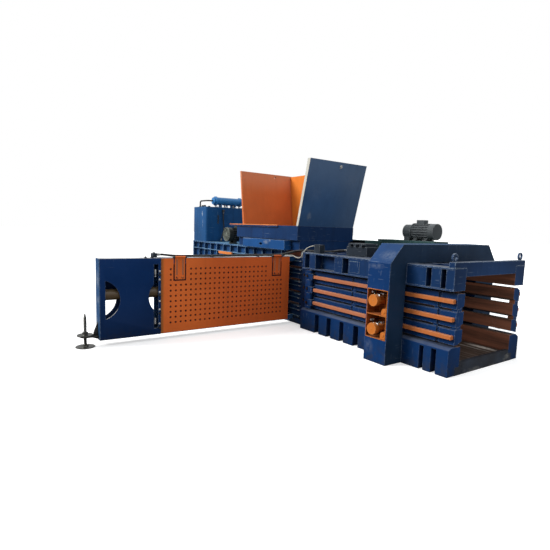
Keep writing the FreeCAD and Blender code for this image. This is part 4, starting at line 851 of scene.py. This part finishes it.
# hopper base with neck
hb = [(-1990, -1740, -660, 660, 1440, 1690), (60, 105, -660, 660, 1440, 1690), (-1740, 60, -660, -600, 1440, 1690), (-1740, 60, 600, 660, 1440, 1690),
      (-1990, -1740, -600, 600, 1262, 1440), (60, 100, -600, 600, 1262, 1440), (-1740, 60, -600, -560, 1262, 1446), (-1740, 60, 560, 600, 1262, 1446)]
for i in range(5):
    hb.append((-1950 + i * 490, -1934 + i * 490, 600, 655, 1262, 1440))
to_object("hopper_base_band", tidy(union(hb), False), m_base, "machine", ["hopper_base"], 0.002)

# ram shell
rs = [(-3710, -2060, -553, 553, 124, 150), (-3710, -2060, -553, -528, 150, 1125), (-3710, -2060, 528, 553, 150, 1125), (-3710, -2060, -553, 553, 1125, 1150), (-2060, -2020, -553, 553, 124, 1150)]
to_object("ram_shell_box", tidy(union(rs)), m_wall, "ram", ["ram_shell"], 0.005)

# recess liners and lugs
for s, nm in ((-1, "near"), (1, "far")):
    ym, yb = (-1095, -850) if s < 0 else (1256, 1010)
    a, b = sorted((ym, yb))
    adds = [(2180, 2505, a, b, 310, 930)]
    t = 8
    yi0, yi1 = (a, b - t) if s < 0 else (a + t, b)
    cuts = [(2188, 2497, yi0 - (1 if s < 0 else 0), yi1 + (1 if s > 0 else 0), 318, 605), (2188, 2497, yi0 - (1 if s < 0 else 0), yi1 + (1 if s > 0 else 0), 613, 922)]
    adds = [(2180, 2505, a, b, 310, 930)]
    bm = tidy(union(adds, cuts))
    ob = to_object("recess_liner_" + nm, bm, m_recess, "machine", ["recess_liners"] if s < 0 else (), 0.002)
    bm = bmesh.new()
    for z in (318, 613):
        prof = [(2400, z), (2490, z)] + [(2445 + 45 * math.cos(math.radians(q)), z + 45 + 45 * math.sin(math.radians(q))) for q in range(0, 181, 12)]
        y0, y1 = (-1068, -950) if s < 0 else (1110, 1228)
        prism(bm, prof, y0, y1, "xz")
        lathe(bm, (2445, (y0 - 7), z + 45), (0, 1, 0), [(0, 0), (0, 13), (2, 15), (130, 15), (132, 13), (132, 0)], 24)
    to_object("recess_lugs_" + nm, bm, m_orange, "machine", (), 0.004)

# ---------------------------------------------------------------- tension doors
SLATS = [(372, 551), (581, 760), (790, 970)]


def slat_profile(s, y_out, z0, z1, top_z, top_y, bot_z, bot_y):
    """section of a slat: s is the side, chamfers on the outer top and inner bottom edges"""
    p = [(560, z0 + bot_z), (560 + bot_y, z0), (y_out, z0), (y_out, z1 - top_z), (y_out - top_y, z1), (560, z1)]
    return [(s * y, z) for y, z in p]


for s, nm, top in ((-1, "near", (9, 9)), (1, "far", (34, 62))):
    bm = bmesh.new()
    for z0, z1 in SLATS:
        for x0, x1, yo in ((575, 660, 689), (660, 1515, 705), (1515, 1557, 689), (1557, 2935, 705), (2935, 2977, 689), (2977, 3180, 705)):
            tz, ty = top
            if yo < 705 and s < 0:
                tz, ty = 2, 2
            by = 84 if s < 0 or z0 > 400 else (yo - 562)
            prism(bm, slat_profile(s, yo, z0, z1, tz, ty if yo == 705 else max(2, ty - 16), 34, by), x0, x1)
    door = to_object("tension_door_%s_slats" % nm, bm, m_blue, "door_" + nm, ["tension_door_" + nm], 0.0035)
    bm = bmesh.new()
    ysort = sorted
    ties = [(575, 655), (1490, 1585), (2220, 2380), (3105, 3180)] + ([(2880, 2940)] if s < 0 else [])
    for za, zb in ((551, 581), (760, 790)):
        lower = [(600, za), (688, za)] if s < 0 else [(600, za), (643, za), (688, za - 24.7)]
        prof = [(s * y, z) for y, z in lower + [(688, zb), (644, zb), (600, zb + 17.8)]]
        for x0, x1 in ties:
            prism(bm, prof, x0, x1)
    to_object("tension_door_%s_straps" % nm, bm, m_blue, "door_" + nm, (), 0.003)
    bm = bmesh.new()
    y0, y1 = sorted((s * 768, s * 704))
    block(bm, 2220, 2380, y0, y1, 385, 955)
    for z0, z1 in ((410, 510), (620, 720), (830, 930)):
        lathe(bm, (610, s * 735, z0), (0, 0, 1), [(0, 25.2), (0, 42), (z1 - z0, 42), (z1 - z0, 25.2), (0, 25.2)], 36)
        y0, y1 = sorted((s * 776, s * 704))
        block(bm, 640, 692, y0, y1, z0, z1)
    to_object("tension_door_%s_beam" % nm, bm, m_blue, "door_" + nm, (), 0.004)

# ---------------------------------------------------------------- needle box
PY = Matrix(((0, 0, 1, 0), (1, 0, 0, 0), (0, 1, 0, 0), (0, 0, 0, 1)))


def at_x(x):
    m = PY.copy()
    m[0][3] = x / 1000
    return m


half = math.degrees(math.acos(82.0 / 270.0))
left_d = arc(-3879, 622, 270, -half, half)
rd = math.degrees(math.acos(200.0 / 270.0))
right_slot = [(-3149, 1085), (-3085, 1085), (-3085, 175), (-3149, 175)] + arc(-2949, 622, 270, 180 + rd, 180 - rd)
top_l = math.degrees(math.asin(26.0 / 270.0))
left_low = arc(-3879, 622, 270, -half, top_l) + [(-3797, 648)]
rb = math.degrees(math.acos(137.0 / 270.0))
right_low = [(-3086, 648)] + arc(-2949, 622, 270, 180 - top_l, 180 + rb)
sheet2d("needle_plate_front", [(-3867, 83), (-3050, 83), (-3050, 1172), (-3867, 1172)], [left_d, right_slot], 8, 1.5, at_x(96), m_navy, "machine", ["needle_box_plates"])
sheet2d("needle_plate_back", [(-3867, 83), (-668, 83), (-668, 1172), (-3867, 1172)], [left_low, right_low], 8, 1.5, at_x(-96), m_navy, "machine")
nb = [(-92, 92, -3867, -668, 1160, 1172), (-92, 92, -3867, -668, 83, 95), (-100, 100, -3875, -3867, 83, 1172)]
for a, b in ((-92, -80), (80, 92)):
    nb += [(a, b, -3867, -668, 1090, 1160), (a, b, -3867, -668, 95, 165), (a, b, -3085, -3045, 165, 1090)]
to_object("needle_box_channels", tidy(union(nb)), m_box, "machine", ["needle_box_frame"], 0.003)
# bracket of the levelling foot: gusset and seat
bm = bmesh.new()
prism(bm, [(-3875, 330), (-3875, 90), (-3985, 128), (-3985, 146), (-3931, 146), (-3931, 186)], -12, 12)
block(bm, -60, 60, -4035, -3875, 128, 146)
lathe(bm, (0, -4035, 128), (0, 0, 1), [(0, 20.2), (0, 60), (18, 60), (18, 20.2), (0, 20.2)], 36)
to_object("foot_bracket", bm, m_dark_steel, "machine", (), 0.002)
# hinge lugs of the guard panel
bm = bmesh.new()
for y0, y1 in ((-2862, -2675), (-1155, -972)):
    for c0, c1 in ((y0 + 16 - 26, y0 + 16 - 3), (y1 - 16 + 3, y1 - 16 + 26)):
        prof = [(70, 1172), (125, 1172), (125, 1186)] + [(112 + 13 * math.cos(math.radians(q)), 1186 + 13 * math.sin(math.radians(q))) for q in range(15, 180, 15)] + [(70, 1180)]
        prism(bm, [(max(70, p[0]), p[1]) for p in prof], c0, c1, "xz")
to_object("guard_hinge_lugs", bm, m_dark_steel, "machine", (), 0.001)

# levelling screw with a thread, pointed top and thin base disc
bm = bmesh.new()
prof = [(0, 0), (0, 119), (3, 121), (7, 121), (10, 117), (10, 44), (14, 42), (26, 40), (30, 20)]
z = 34.0
while z < 386:
    prof += [(z, 19.8), (z + 2.0, 18.2), (z + 4.0, 18.2)]
    z += 6.0
prof += [(392, 19.0), (400, 15), (447, 5.5), (447, 0)]
lathe(bm, (0, -4035, 0), (0, 0, 1), prof, 40)
to_object("levelling_screw", bm, m_foot, "screw", ["foot_screw"], 0.0)

# ---------------------------------------------------------------- details
# bare strip along the near edge of the hopper's front panel
bm = bmesh.new()
prism(bm, [(55, 1690), (107, 1690), (374, 2800), (304, 2800)], -656, -649.5, "xz")
to_object("front_panel_edge_strip", bm, m_cream, "machine", (), 0.002)
# bolt through the front panel
bm = bmesh.new()
ax = Vector((1110, 0, -267)).normalized()
base = Vector((330, 40, 2730)) + ax * ((Vector((105, 0, 1690)) - Vector((330, 40, 2730))).dot(ax))
hexhead(bm, tuple(base), tuple(ax), 46, 16, 29)
to_object("front_panel_bolt", bm, m_glint, "machine", (), 0.0)

# fan guard with rings and spokes
bm = bmesh.new()
for r in (34, 62, 90, 118):
    lathe(bm, (-2400, -690, 1470), (0, -1, 0), [(1, r - 3), (1, r + 3), (5, r + 2), (5, r - 2), (1, r - 3)], 40)
lathe(bm, (-2400, -690, 1470), (0, -1, 0), [(-6, 147.5), (-6, 152), (8, 150), (10, 144), (4, 138), (1, 138), (1, 147), (-6, 147.5)], 48)
lathe(bm, (-2400, -690, 1470), (0, -1, 0), [(0.5, 0), (0.5, 22), (6, 20), (8, 12), (8, 0)], 24)
for i in range(16):
    a = 2 * math.pi * i / 16
    c, s = math.cos(a), math.sin(a)
    q = [(20, -2.6), (141, -2.6), (141, 2.6), (20, 2.6)]
    prism(bm, [(-2400 + p * c - w * s, 1470 + p * s + w * c) for p, w in q], -694.5, -691.2, "xz")
to_object("fan_guard", bm, m_grille, "machine", (), 0.0)

# dark strips round the guard's hanger notches, painted shade for the gaps, and the hangers' flat bars with bolts
for i, (y0, y1, z0) in enumerate(((-2862, -2675, 843), (-1155, -972, 850))):
    cu_add = [(98.2, 100.2, y0 - 3, y0 + 17, z0 - 3, 1075 if i == 0 else 1060), (98.2, 100.2, y1 - 17, y1 + 3, z0 - 3, 1090), (98.2, 100.2, y0 - 3, y1 + 3, z0 - 3, z0 + 17)]
    to_object("guard_notch_shade_strip_%d" % i, tidy(union(cu_add)), m_gap_shade, "guard", (), 0.0008)
    bm = bmesh.new()
    for yy in (y0 + 52, y1 - 52):
        hexhead(bm, (99.0, yy, z0 + 46), (1, 0, 0), 30, 12)
    to_object("guard_hanger_bolts_%d" % i, bm, m_dark_steel, "guard", (), 0.0)
    bm = bmesh.new()
    block(bm, 99.0, 104.0, y0 + 36, y0 + 60, z0 + 80, 1150)
    block(bm, 99.0, 104.0, y1 - 60, y1 - 36, z0 + 80, 1150)
    to_object("guard_hanger_ribs_%d" % i, bm, m_bars_l, "guard", (), 0.0015)
# bolts and clamps on top of the needle box
bm = bmesh.new()
for yy in (-3255, -3165, -2240, -1420):
    block(bm, 34, 86, yy - 16, yy + 16, 1172.2, 1180)
    hexhead(bm, (60, yy, 1180), (0, 0, 1), 24, 15)
to_object("needle_box_clamps", bm, m_black, "machine", (), 0.0012)
# bolts down the plate edge beside the guard panel
bm = bmesh.new()
for zz in (235, 440, 560, 690, 868, 985):
    hexhead(bm, (100, -3066, zz), (1, 0, 0), 22, 10)
to_object("needle_plate_bolts", bm, m_glint, "machine", (), 0.0)
# bright guide blocks in the slot
bm = bmesh.new()
for z0, z1 in ((935, 1010), (905, 922), (228, 318)):
    block(bm, 60, 78, -3132, -3108, z0, z1)
to_object("needle_slot_guides", bm, m_glint, "machine", (), 0.003)
# weld along the lower rim of the left cut-out
bm = bmesh.new()
pts = arc(-3879, 622, 271.5, -70, -28, 14)
for p, q in zip(pts, pts[1:]):
    bead(bm, (100.5, p[0], p[1]), (100.5, q[0], q[1]), 2.6, 8.0)
to_object("needle_plate_rim_weld", bm, m_glint, "machine", (), 0.0)

# fittings, hard pipes and clips above each tension cylinder cap
for s, nm in ((-1, "near"), (1, "far")):
    bm = bmesh.new()
    bmf = bmesh.new()
    yc = -1078 if s < 0 else 1238
    yb = -905 if s < 0 else 1065
    for z in (427, 788):
        top = z + 75
        for x, dz in ((2236, 92), (2408, 88)):
            tube(bm, [(2300 + (x - 2300) * 0.42, yc + 22 * -s, z + 60), (2300 + (x - 2300) * 0.55, yc + 22 * -s, z + dz + 6), (x, yc + 18 * -s, z + dz + 6), (x, yb, z + dz + 6)], 8, 20, 12)
            hexhead(bmf, (x, yc + 34 * -s, z + dz + 6), (0, s, 0), 26, 22, False)
            lathe(bmf, (x, yc + 52 * -s, z + dz + 6), (0, -s, 0), [(0, 0), (0, 12), (26, 12), (26, 0)], 20)
            lathe(bmf, (2300 + (x - 2300) * 0.42, yc + 22 * -s, z + 52), (0, 0, 1), [(0, 0), (0, 13), (14, 13), (20, 10), (20, 0)], 20)
        lathe(bmf, (2330, yc + 12 * -s, z + 74), (0, 0, 1), [(-6, 0), (-6, 9), (10, 9), (13, 6), (13, 0)], 16)
    to_object("tension_pipes_" + nm, bm, m_black, "machine", (), 0.0)
    to_object("tension_fittings_" + nm, bmf, m_glint, "machine", (), 0.0)
    # rim of the cap and its end screw ring
    bm = bmesh.new()
    ye = -1122 if s < 0 else 1282
    for z in (427, 788):
        lathe(bm, (2300, ye, z), (0, s, 0), [(-3, 62), (-3, 74.5), (0.6, 73), (0.6, 66), (-0.5, 62), (-3, 62)], 40)
        lathe(bm, (2300, ye, z), (0, s, 0), [(-1, 0), (-1, 15), (2.5, 13), (2.5, 0)], 24)
    to_object("tension_cap_rims_" + nm, bm, m_orange, "machine", (), 0.0008)

# stepped ledges with small pins on the tie combs
for s, nm in ((-1, "near"), (1, "far")):
    bm = bmesh.new()
    bmp = bmesh.new()
    for k in range(10):
        # every second one lies just under a wire slot and leaves the needles' way free
        z = 148 + k * 104.5 - (40 if k in (2, 4, 6, 8) else 0)
        y0, y1 = sorted((s * 667.6, s * 690))
        for xa, xb in (((-322, -104), (104, 282)) if k in (2, 4, 6, 8) else ((-322, 282),)):
            block(bm, xa, xb, y0, y1, z, z + 12)
        for x in (262, 236, -300):
            lathe(bmp, (x + 9 * math.sin(k * 1.7), s * 690, z + 6), (0, s, 0), [(-1, 0), (-1, 5.0), (7, 5.0), (9, 3.5), (9, 0)], 12)
    to_object("comb_ledges_" + nm, bm, m_ledge, "machine", (), 0.002)
    to_object("comb_pins_" + nm, bmp, m_glint, "machine", (), 0.0)

# shallow plate on the wide post of the upper band
for s, nm in ((-1, "near"), (1, "far")):
    bm = bmesh.new()
    y0, y1 = sorted((s * 785.5, s * 790))
    block(bm, 1520, 1720, y0, y1, 1046, 1208)
    to_object("band_post_plate_" + nm, bm, m_band, "machine", (), 0.002)
    bm = bmesh.new()
    bead(bm, (1520, s * 787, 1210), (1690, s * 787, 1210), 3.6)
    bead(bm, (1518, s * 787, 1208), (1518, s * 787, 1100), 3.6)
    to_object("band_post_weld_" + nm, bm, m_ledge, "machine", (), 0.0)

# weld seams where the tension frame meets the bands
bm = bmesh.new()
for s in (-1, 1):
    for x in (2162, 2523):
        bead(bm, (x, s * 789, 1019), (x, s * 789, 1240), 4.5)
        bead(bm, (x, s * 789, 20), (x, s * 789, 300), 4.5)
        bead(bm, (x, s * 780, 1264), (x, s * 590, 1264), 4.5)
    bead(bm, (2168, s * 792, 1264.5), (2517, s * 792, 1264.5), 3.0)
to_object("frame_weld_seams", bm, m_blue, "machine", (), 0.0)

# pipe stubs and nuts between the tank lid and the cooler
bm = bmesh.new()
for y in (-365, -120, 130, 285):
    lathe(bm, (-3600, y, 2096), (0, 0, 1), [(0, 0), (0, 30), (10, 30), (12, 18), (34, 18), (36, 26), (62, 26), (62, 0)], 24)
    hexhead(bm, (-3545, y + 24, 2096), (0, 0, 1), 34, 26)
to_object("cooler_ports", bm, m_glint, "machine", (), 0.0)
# filler caps on the tank lid
bm = bmesh.new()
for x, y, r in ((-3990, -520, 46), (-3800, -560, 34), (-4100, -300, 40)):
    lathe(bm, (x, y, 2096), (0, 0, 1), [(0, 0), (0, r), (22, r), (26, r * 0.8), (44, r * 0.76), (48, r * 0.62), (48, 0)], 28)
to_object("tank_lid_caps", bm, m_black, "machine", (), 0.0015)
# level gauge on the tank's front
bm = bmesh.new()
block(bm, -3499.5, -3490, -360, -330, 1700, 1905)
lathe(bm, (-3490, -345, 1725), (1, 0, 0), [(-1, 0), (-1, 11), (6, 11), (6, 0)], 20)
lathe(bm, (-3490, -345, 1880), (1, 0, 0), [(-1, 0), (-1, 11), (6, 11), (6, 0)], 20)
to_object("tank_level_gauge", bm, m_dim, "machine", (), 0.002)

# ---------------------------------------------------------------- knotter housing
kx = [(-320, -312, 668, 1100, 0, 1457), (412, 420, 668, 1100, 0, 1457), (-312, 412, 1092, 1100, 0, 1457), (-320, 420, 668, 1100, 1457, 1465),
      (-312, 412, 700, 1092, 0, 12), (-312, 412, 700, 1092, 170, 190), (-312, 412, 700, 1092, 1110, 1130)]
dx = [(330, 1560, 1100, 1108, 0, 1490), (330, 1560, 1492, 1500, 0, 1490), (330, 338, 1108, 1492, 0, 1490), (1552, 1560, 1108, 1492, 0, 1490), (330, 1560, 1100, 1500, 1490, 1500)]
kcut = [(-32, 32, 768, 832, 160, 195), (-32, 32, 768, 832, 1105, 1135)]
to_object("knotter_cover", tidy(union(kx + dx, kcut)), m_teal, "machine", ["knotter_housing"], 0.004)

# doors with hinges and latches, and louvres, on the cover's far side
for i, (x0, x1, y, z0, z1) in enumerate(((-290, 300, 1100, 90, 1400), (366, 930, 1500, 90, 1430), (960, 1524, 1500, 90, 1430))):
    bm = bmesh.new()
    block(bm, x0, x1, y - 0.5, y + 1.6, z0, z1)
    block(bm, x0 + 26, x1 - 26, y + 1.0, y + 4.5, z0 + 26, z1 - 26)
    to_object("cover_door_%d" % i, bm, m_teal, "machine", (), 0.0015)
    bm = bmesh.new()
    for zz in (z0 + 140, (z0 + z1) / 2, z1 - 140):
        lathe(bm, (x0 - 4, y + 5, zz - 34), (0, 0, 1), [(0, 0), (0, 6.5), (22, 6.5), (22.6, 5.6), (23.4, 5.6), (24, 6.5), (68, 6.5), (68, 0)], 16)
        block(bm, x0 - 4, x0 + 22, y + 1.4, y + 5.6, zz - 26, zz + 26)
    for zz in (z0 + 330, z1 - 330):
        lathe(bm, (x1 - 60, y + 4, zz), (0, 1, 0), [(0, 0), (0, 17), (6, 17), (8, 14), (8, 0)], 28)
        block(bm, x1 - 63.5, x1 - 56.5, y + 11, y + 20, zz - 22, zz + 22)
    to_object("cover_hardware_%d" % i, bm, m_dark_steel, "machine", (), 0.001)
    bm = bmesh.new()
    for k in range(7):
        zz = z1 - 180 - k * 26
        xa, xb = (x0 + x1) / 2 - 110, (x0 + x1) / 2 + 110
        prism(bm, [(y + 4.2, zz), (y + 12, zz - 4), (y + 12, zz - 6), (y + 4.2, zz - 16)], xa, xb)
    to_object("cover_louvres_%d" % i, bm, m_teal, "machine", (), 0.0008)
# ---------------------------------------------------------------- materials of the nodes that stay as they are
for node, material in (("floor_plate", m_wear), ("outlet_sill", m_sill), ("guard_panel", m_panel), ("hex_bolts", m_dark_steel), ("motor_rotor", m_steel),
                       ("fan_cover", m_grey), ("needle_rod", m_chrome), ("ram_rod", m_chrome), ("tension_rods_near", m_chrome), ("tension_rods_far", m_chrome)):
    me = N[node].data
    if not me.materials:
        me.materials.append(material)
    for i in range(len(me.materials)):
        me.materials[i] = material
for n, ob in N.items():
    if ob.hide_render:
        continue
    if n not in ("floor_plate", "outlet_sill", "guard_panel", "hex_bolts", "motor_rotor", "fan_cover", "needle_rod", "ram_rod", "tension_rods_near", "tension_rods_far"):
        print("node still shown without its own finish:", n)

# ---------------------------------------------------------------- light and floor
world = bpy.data.worlds.new("studio")
scene.world = world
world.use_nodes = True
wt = world.node_tree
wt.nodes.clear()


def wnode(kind, **kw):
    n = wt.nodes.new(kind)
    for k, v in kw.items():
        setattr(n, k, v)
    return n


wo = wnode("ShaderNodeOutputWorld")
tc = wnode("ShaderNodeTexCoord")
sp = wnode("ShaderNodeSeparateXYZ")
wt.links.new(tc.outputs["Generated"], sp.inputs[0])


def ramp(socket, a, b, va, vb):
    n = wnode("ShaderNodeMapRange", interpolation_type="SMOOTHSTEP")
    lo_, hi_ = (a, b) if a < b else (b, a)
    n.inputs["From Min"].default_value = lo_
    n.inputs["From Max"].default_value = hi_
    n.inputs["To Min"].default_value = va if a < b else vb
    n.inputs["To Max"].default_value = vb if a < b else va
    wt.links.new(socket, n.inputs["Value"])
    return n.outputs[0]


side = ramp(sp.outputs[0], -0.6, 0.6, LIGHT["minus_x"], LIGHT["plus_x"])
high = ramp(sp.outputs[2], 0.0, 0.85, LIGHT["low"], LIGHT["top"])
mulw = wnode("ShaderNodeMath", operation="MULTIPLY")
wt.links.new(side, mulw.inputs[0])
wt.links.new(high, mulw.inputs[1])
soft = wnode("ShaderNodeBackground")
soft.inputs["Color"].default_value = (0.97, 0.985, 1.0, 1)
wt.links.new(mulw.outputs[0], soft.inputs["Strength"])
back = wnode("ShaderNodeBackground")
back.inputs["Color"].default_value = (1, 1, 1, 1)
back.inputs["Strength"].default_value = 1.0
lp = wnode("ShaderNodeLightPath")
mixw = wnode("ShaderNodeMixShader")
wt.links.new(lp.outputs["Is Camera Ray"], mixw.inputs[0])
wt.links.new(soft.outputs[0], mixw.inputs[1])
wt.links.new(back.outputs[0], mixw.inputs[2])
wt.links.new(mixw.outputs[0], wo.inputs[0])


def lamp(name, kind, loc, target, energy, size=None, size_y=None, color=(1, 1, 1), angle=None, spread=None):
    d = bpy.data.lights.new(name, kind)
    d.energy = energy
    d.color = color
    if kind == "AREA":
        d.shape = "RECTANGLE"
        d.size = size
        d.size_y = size_y or size
        if spread:
            d.spread = math.radians(spread)
    if angle:
        d.angle = math.radians(angle)
    o = bpy.data.objects.new(name, d)
    scene.collection.objects.link(o)
    o.location = loc
    o.rotation_euler = (Vector(target) - Vector(loc)).to_track_quat("-Z", "Y").to_euler()
    return o


lamp("key", "SUN", (-6, -12, 9), (0.5, 0, 0.5), LIGHT["key"], angle=26, color=(1.0, 0.99, 0.97))
lamp("outlet_fill", "AREA", (5.0, -0.35, 1.05), (2.2, 0.25, 0.55), LIGHT["outlet"], size=0.5, size_y=0.5, color=(1.0, 0.98, 0.95), spread=55)
bm = bmesh.new()
bmesh.ops.create_grid(bm, x_segments=1, y_segments=1, size=90.0)
me = bpy.data.meshes.new("floor")
bm.to_mesh(me)
bm.free()
gf = Mat("pale floor")
tone = gf.mixc(gf.step(gf.noise(0.4, 3), 0.3, 0.7), (0.84, 0.84, 0.84), (0.88, 0.88, 0.88))
lpf = gf.nt.nodes.new("ShaderNodeLightPath")
gf.link(gf.mixc(lpf.outputs["Is Camera Ray"], (LIGHT["bounce"],) * 3, tone), gf.b.inputs["Base Color"])
glow = gf.math("MULTIPLY", lpf.outputs["Is Camera Ray"], 0.42)
gf.link(glow, gf.b.inputs["Emission Strength"])
gf.b.inputs["Emission Color"].default_value = (1, 1, 1, 1)
gf.const(Roughness=0.9)
gf.b.inputs["Specular IOR Level"].default_value = 0.0
me.materials.append(gf.m)
floor = bpy.data.objects.new("floor", me)
scene.collection.objects.link(floor)
floor.location = (0, 0, -0.002)
floor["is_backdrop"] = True

lo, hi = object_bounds()
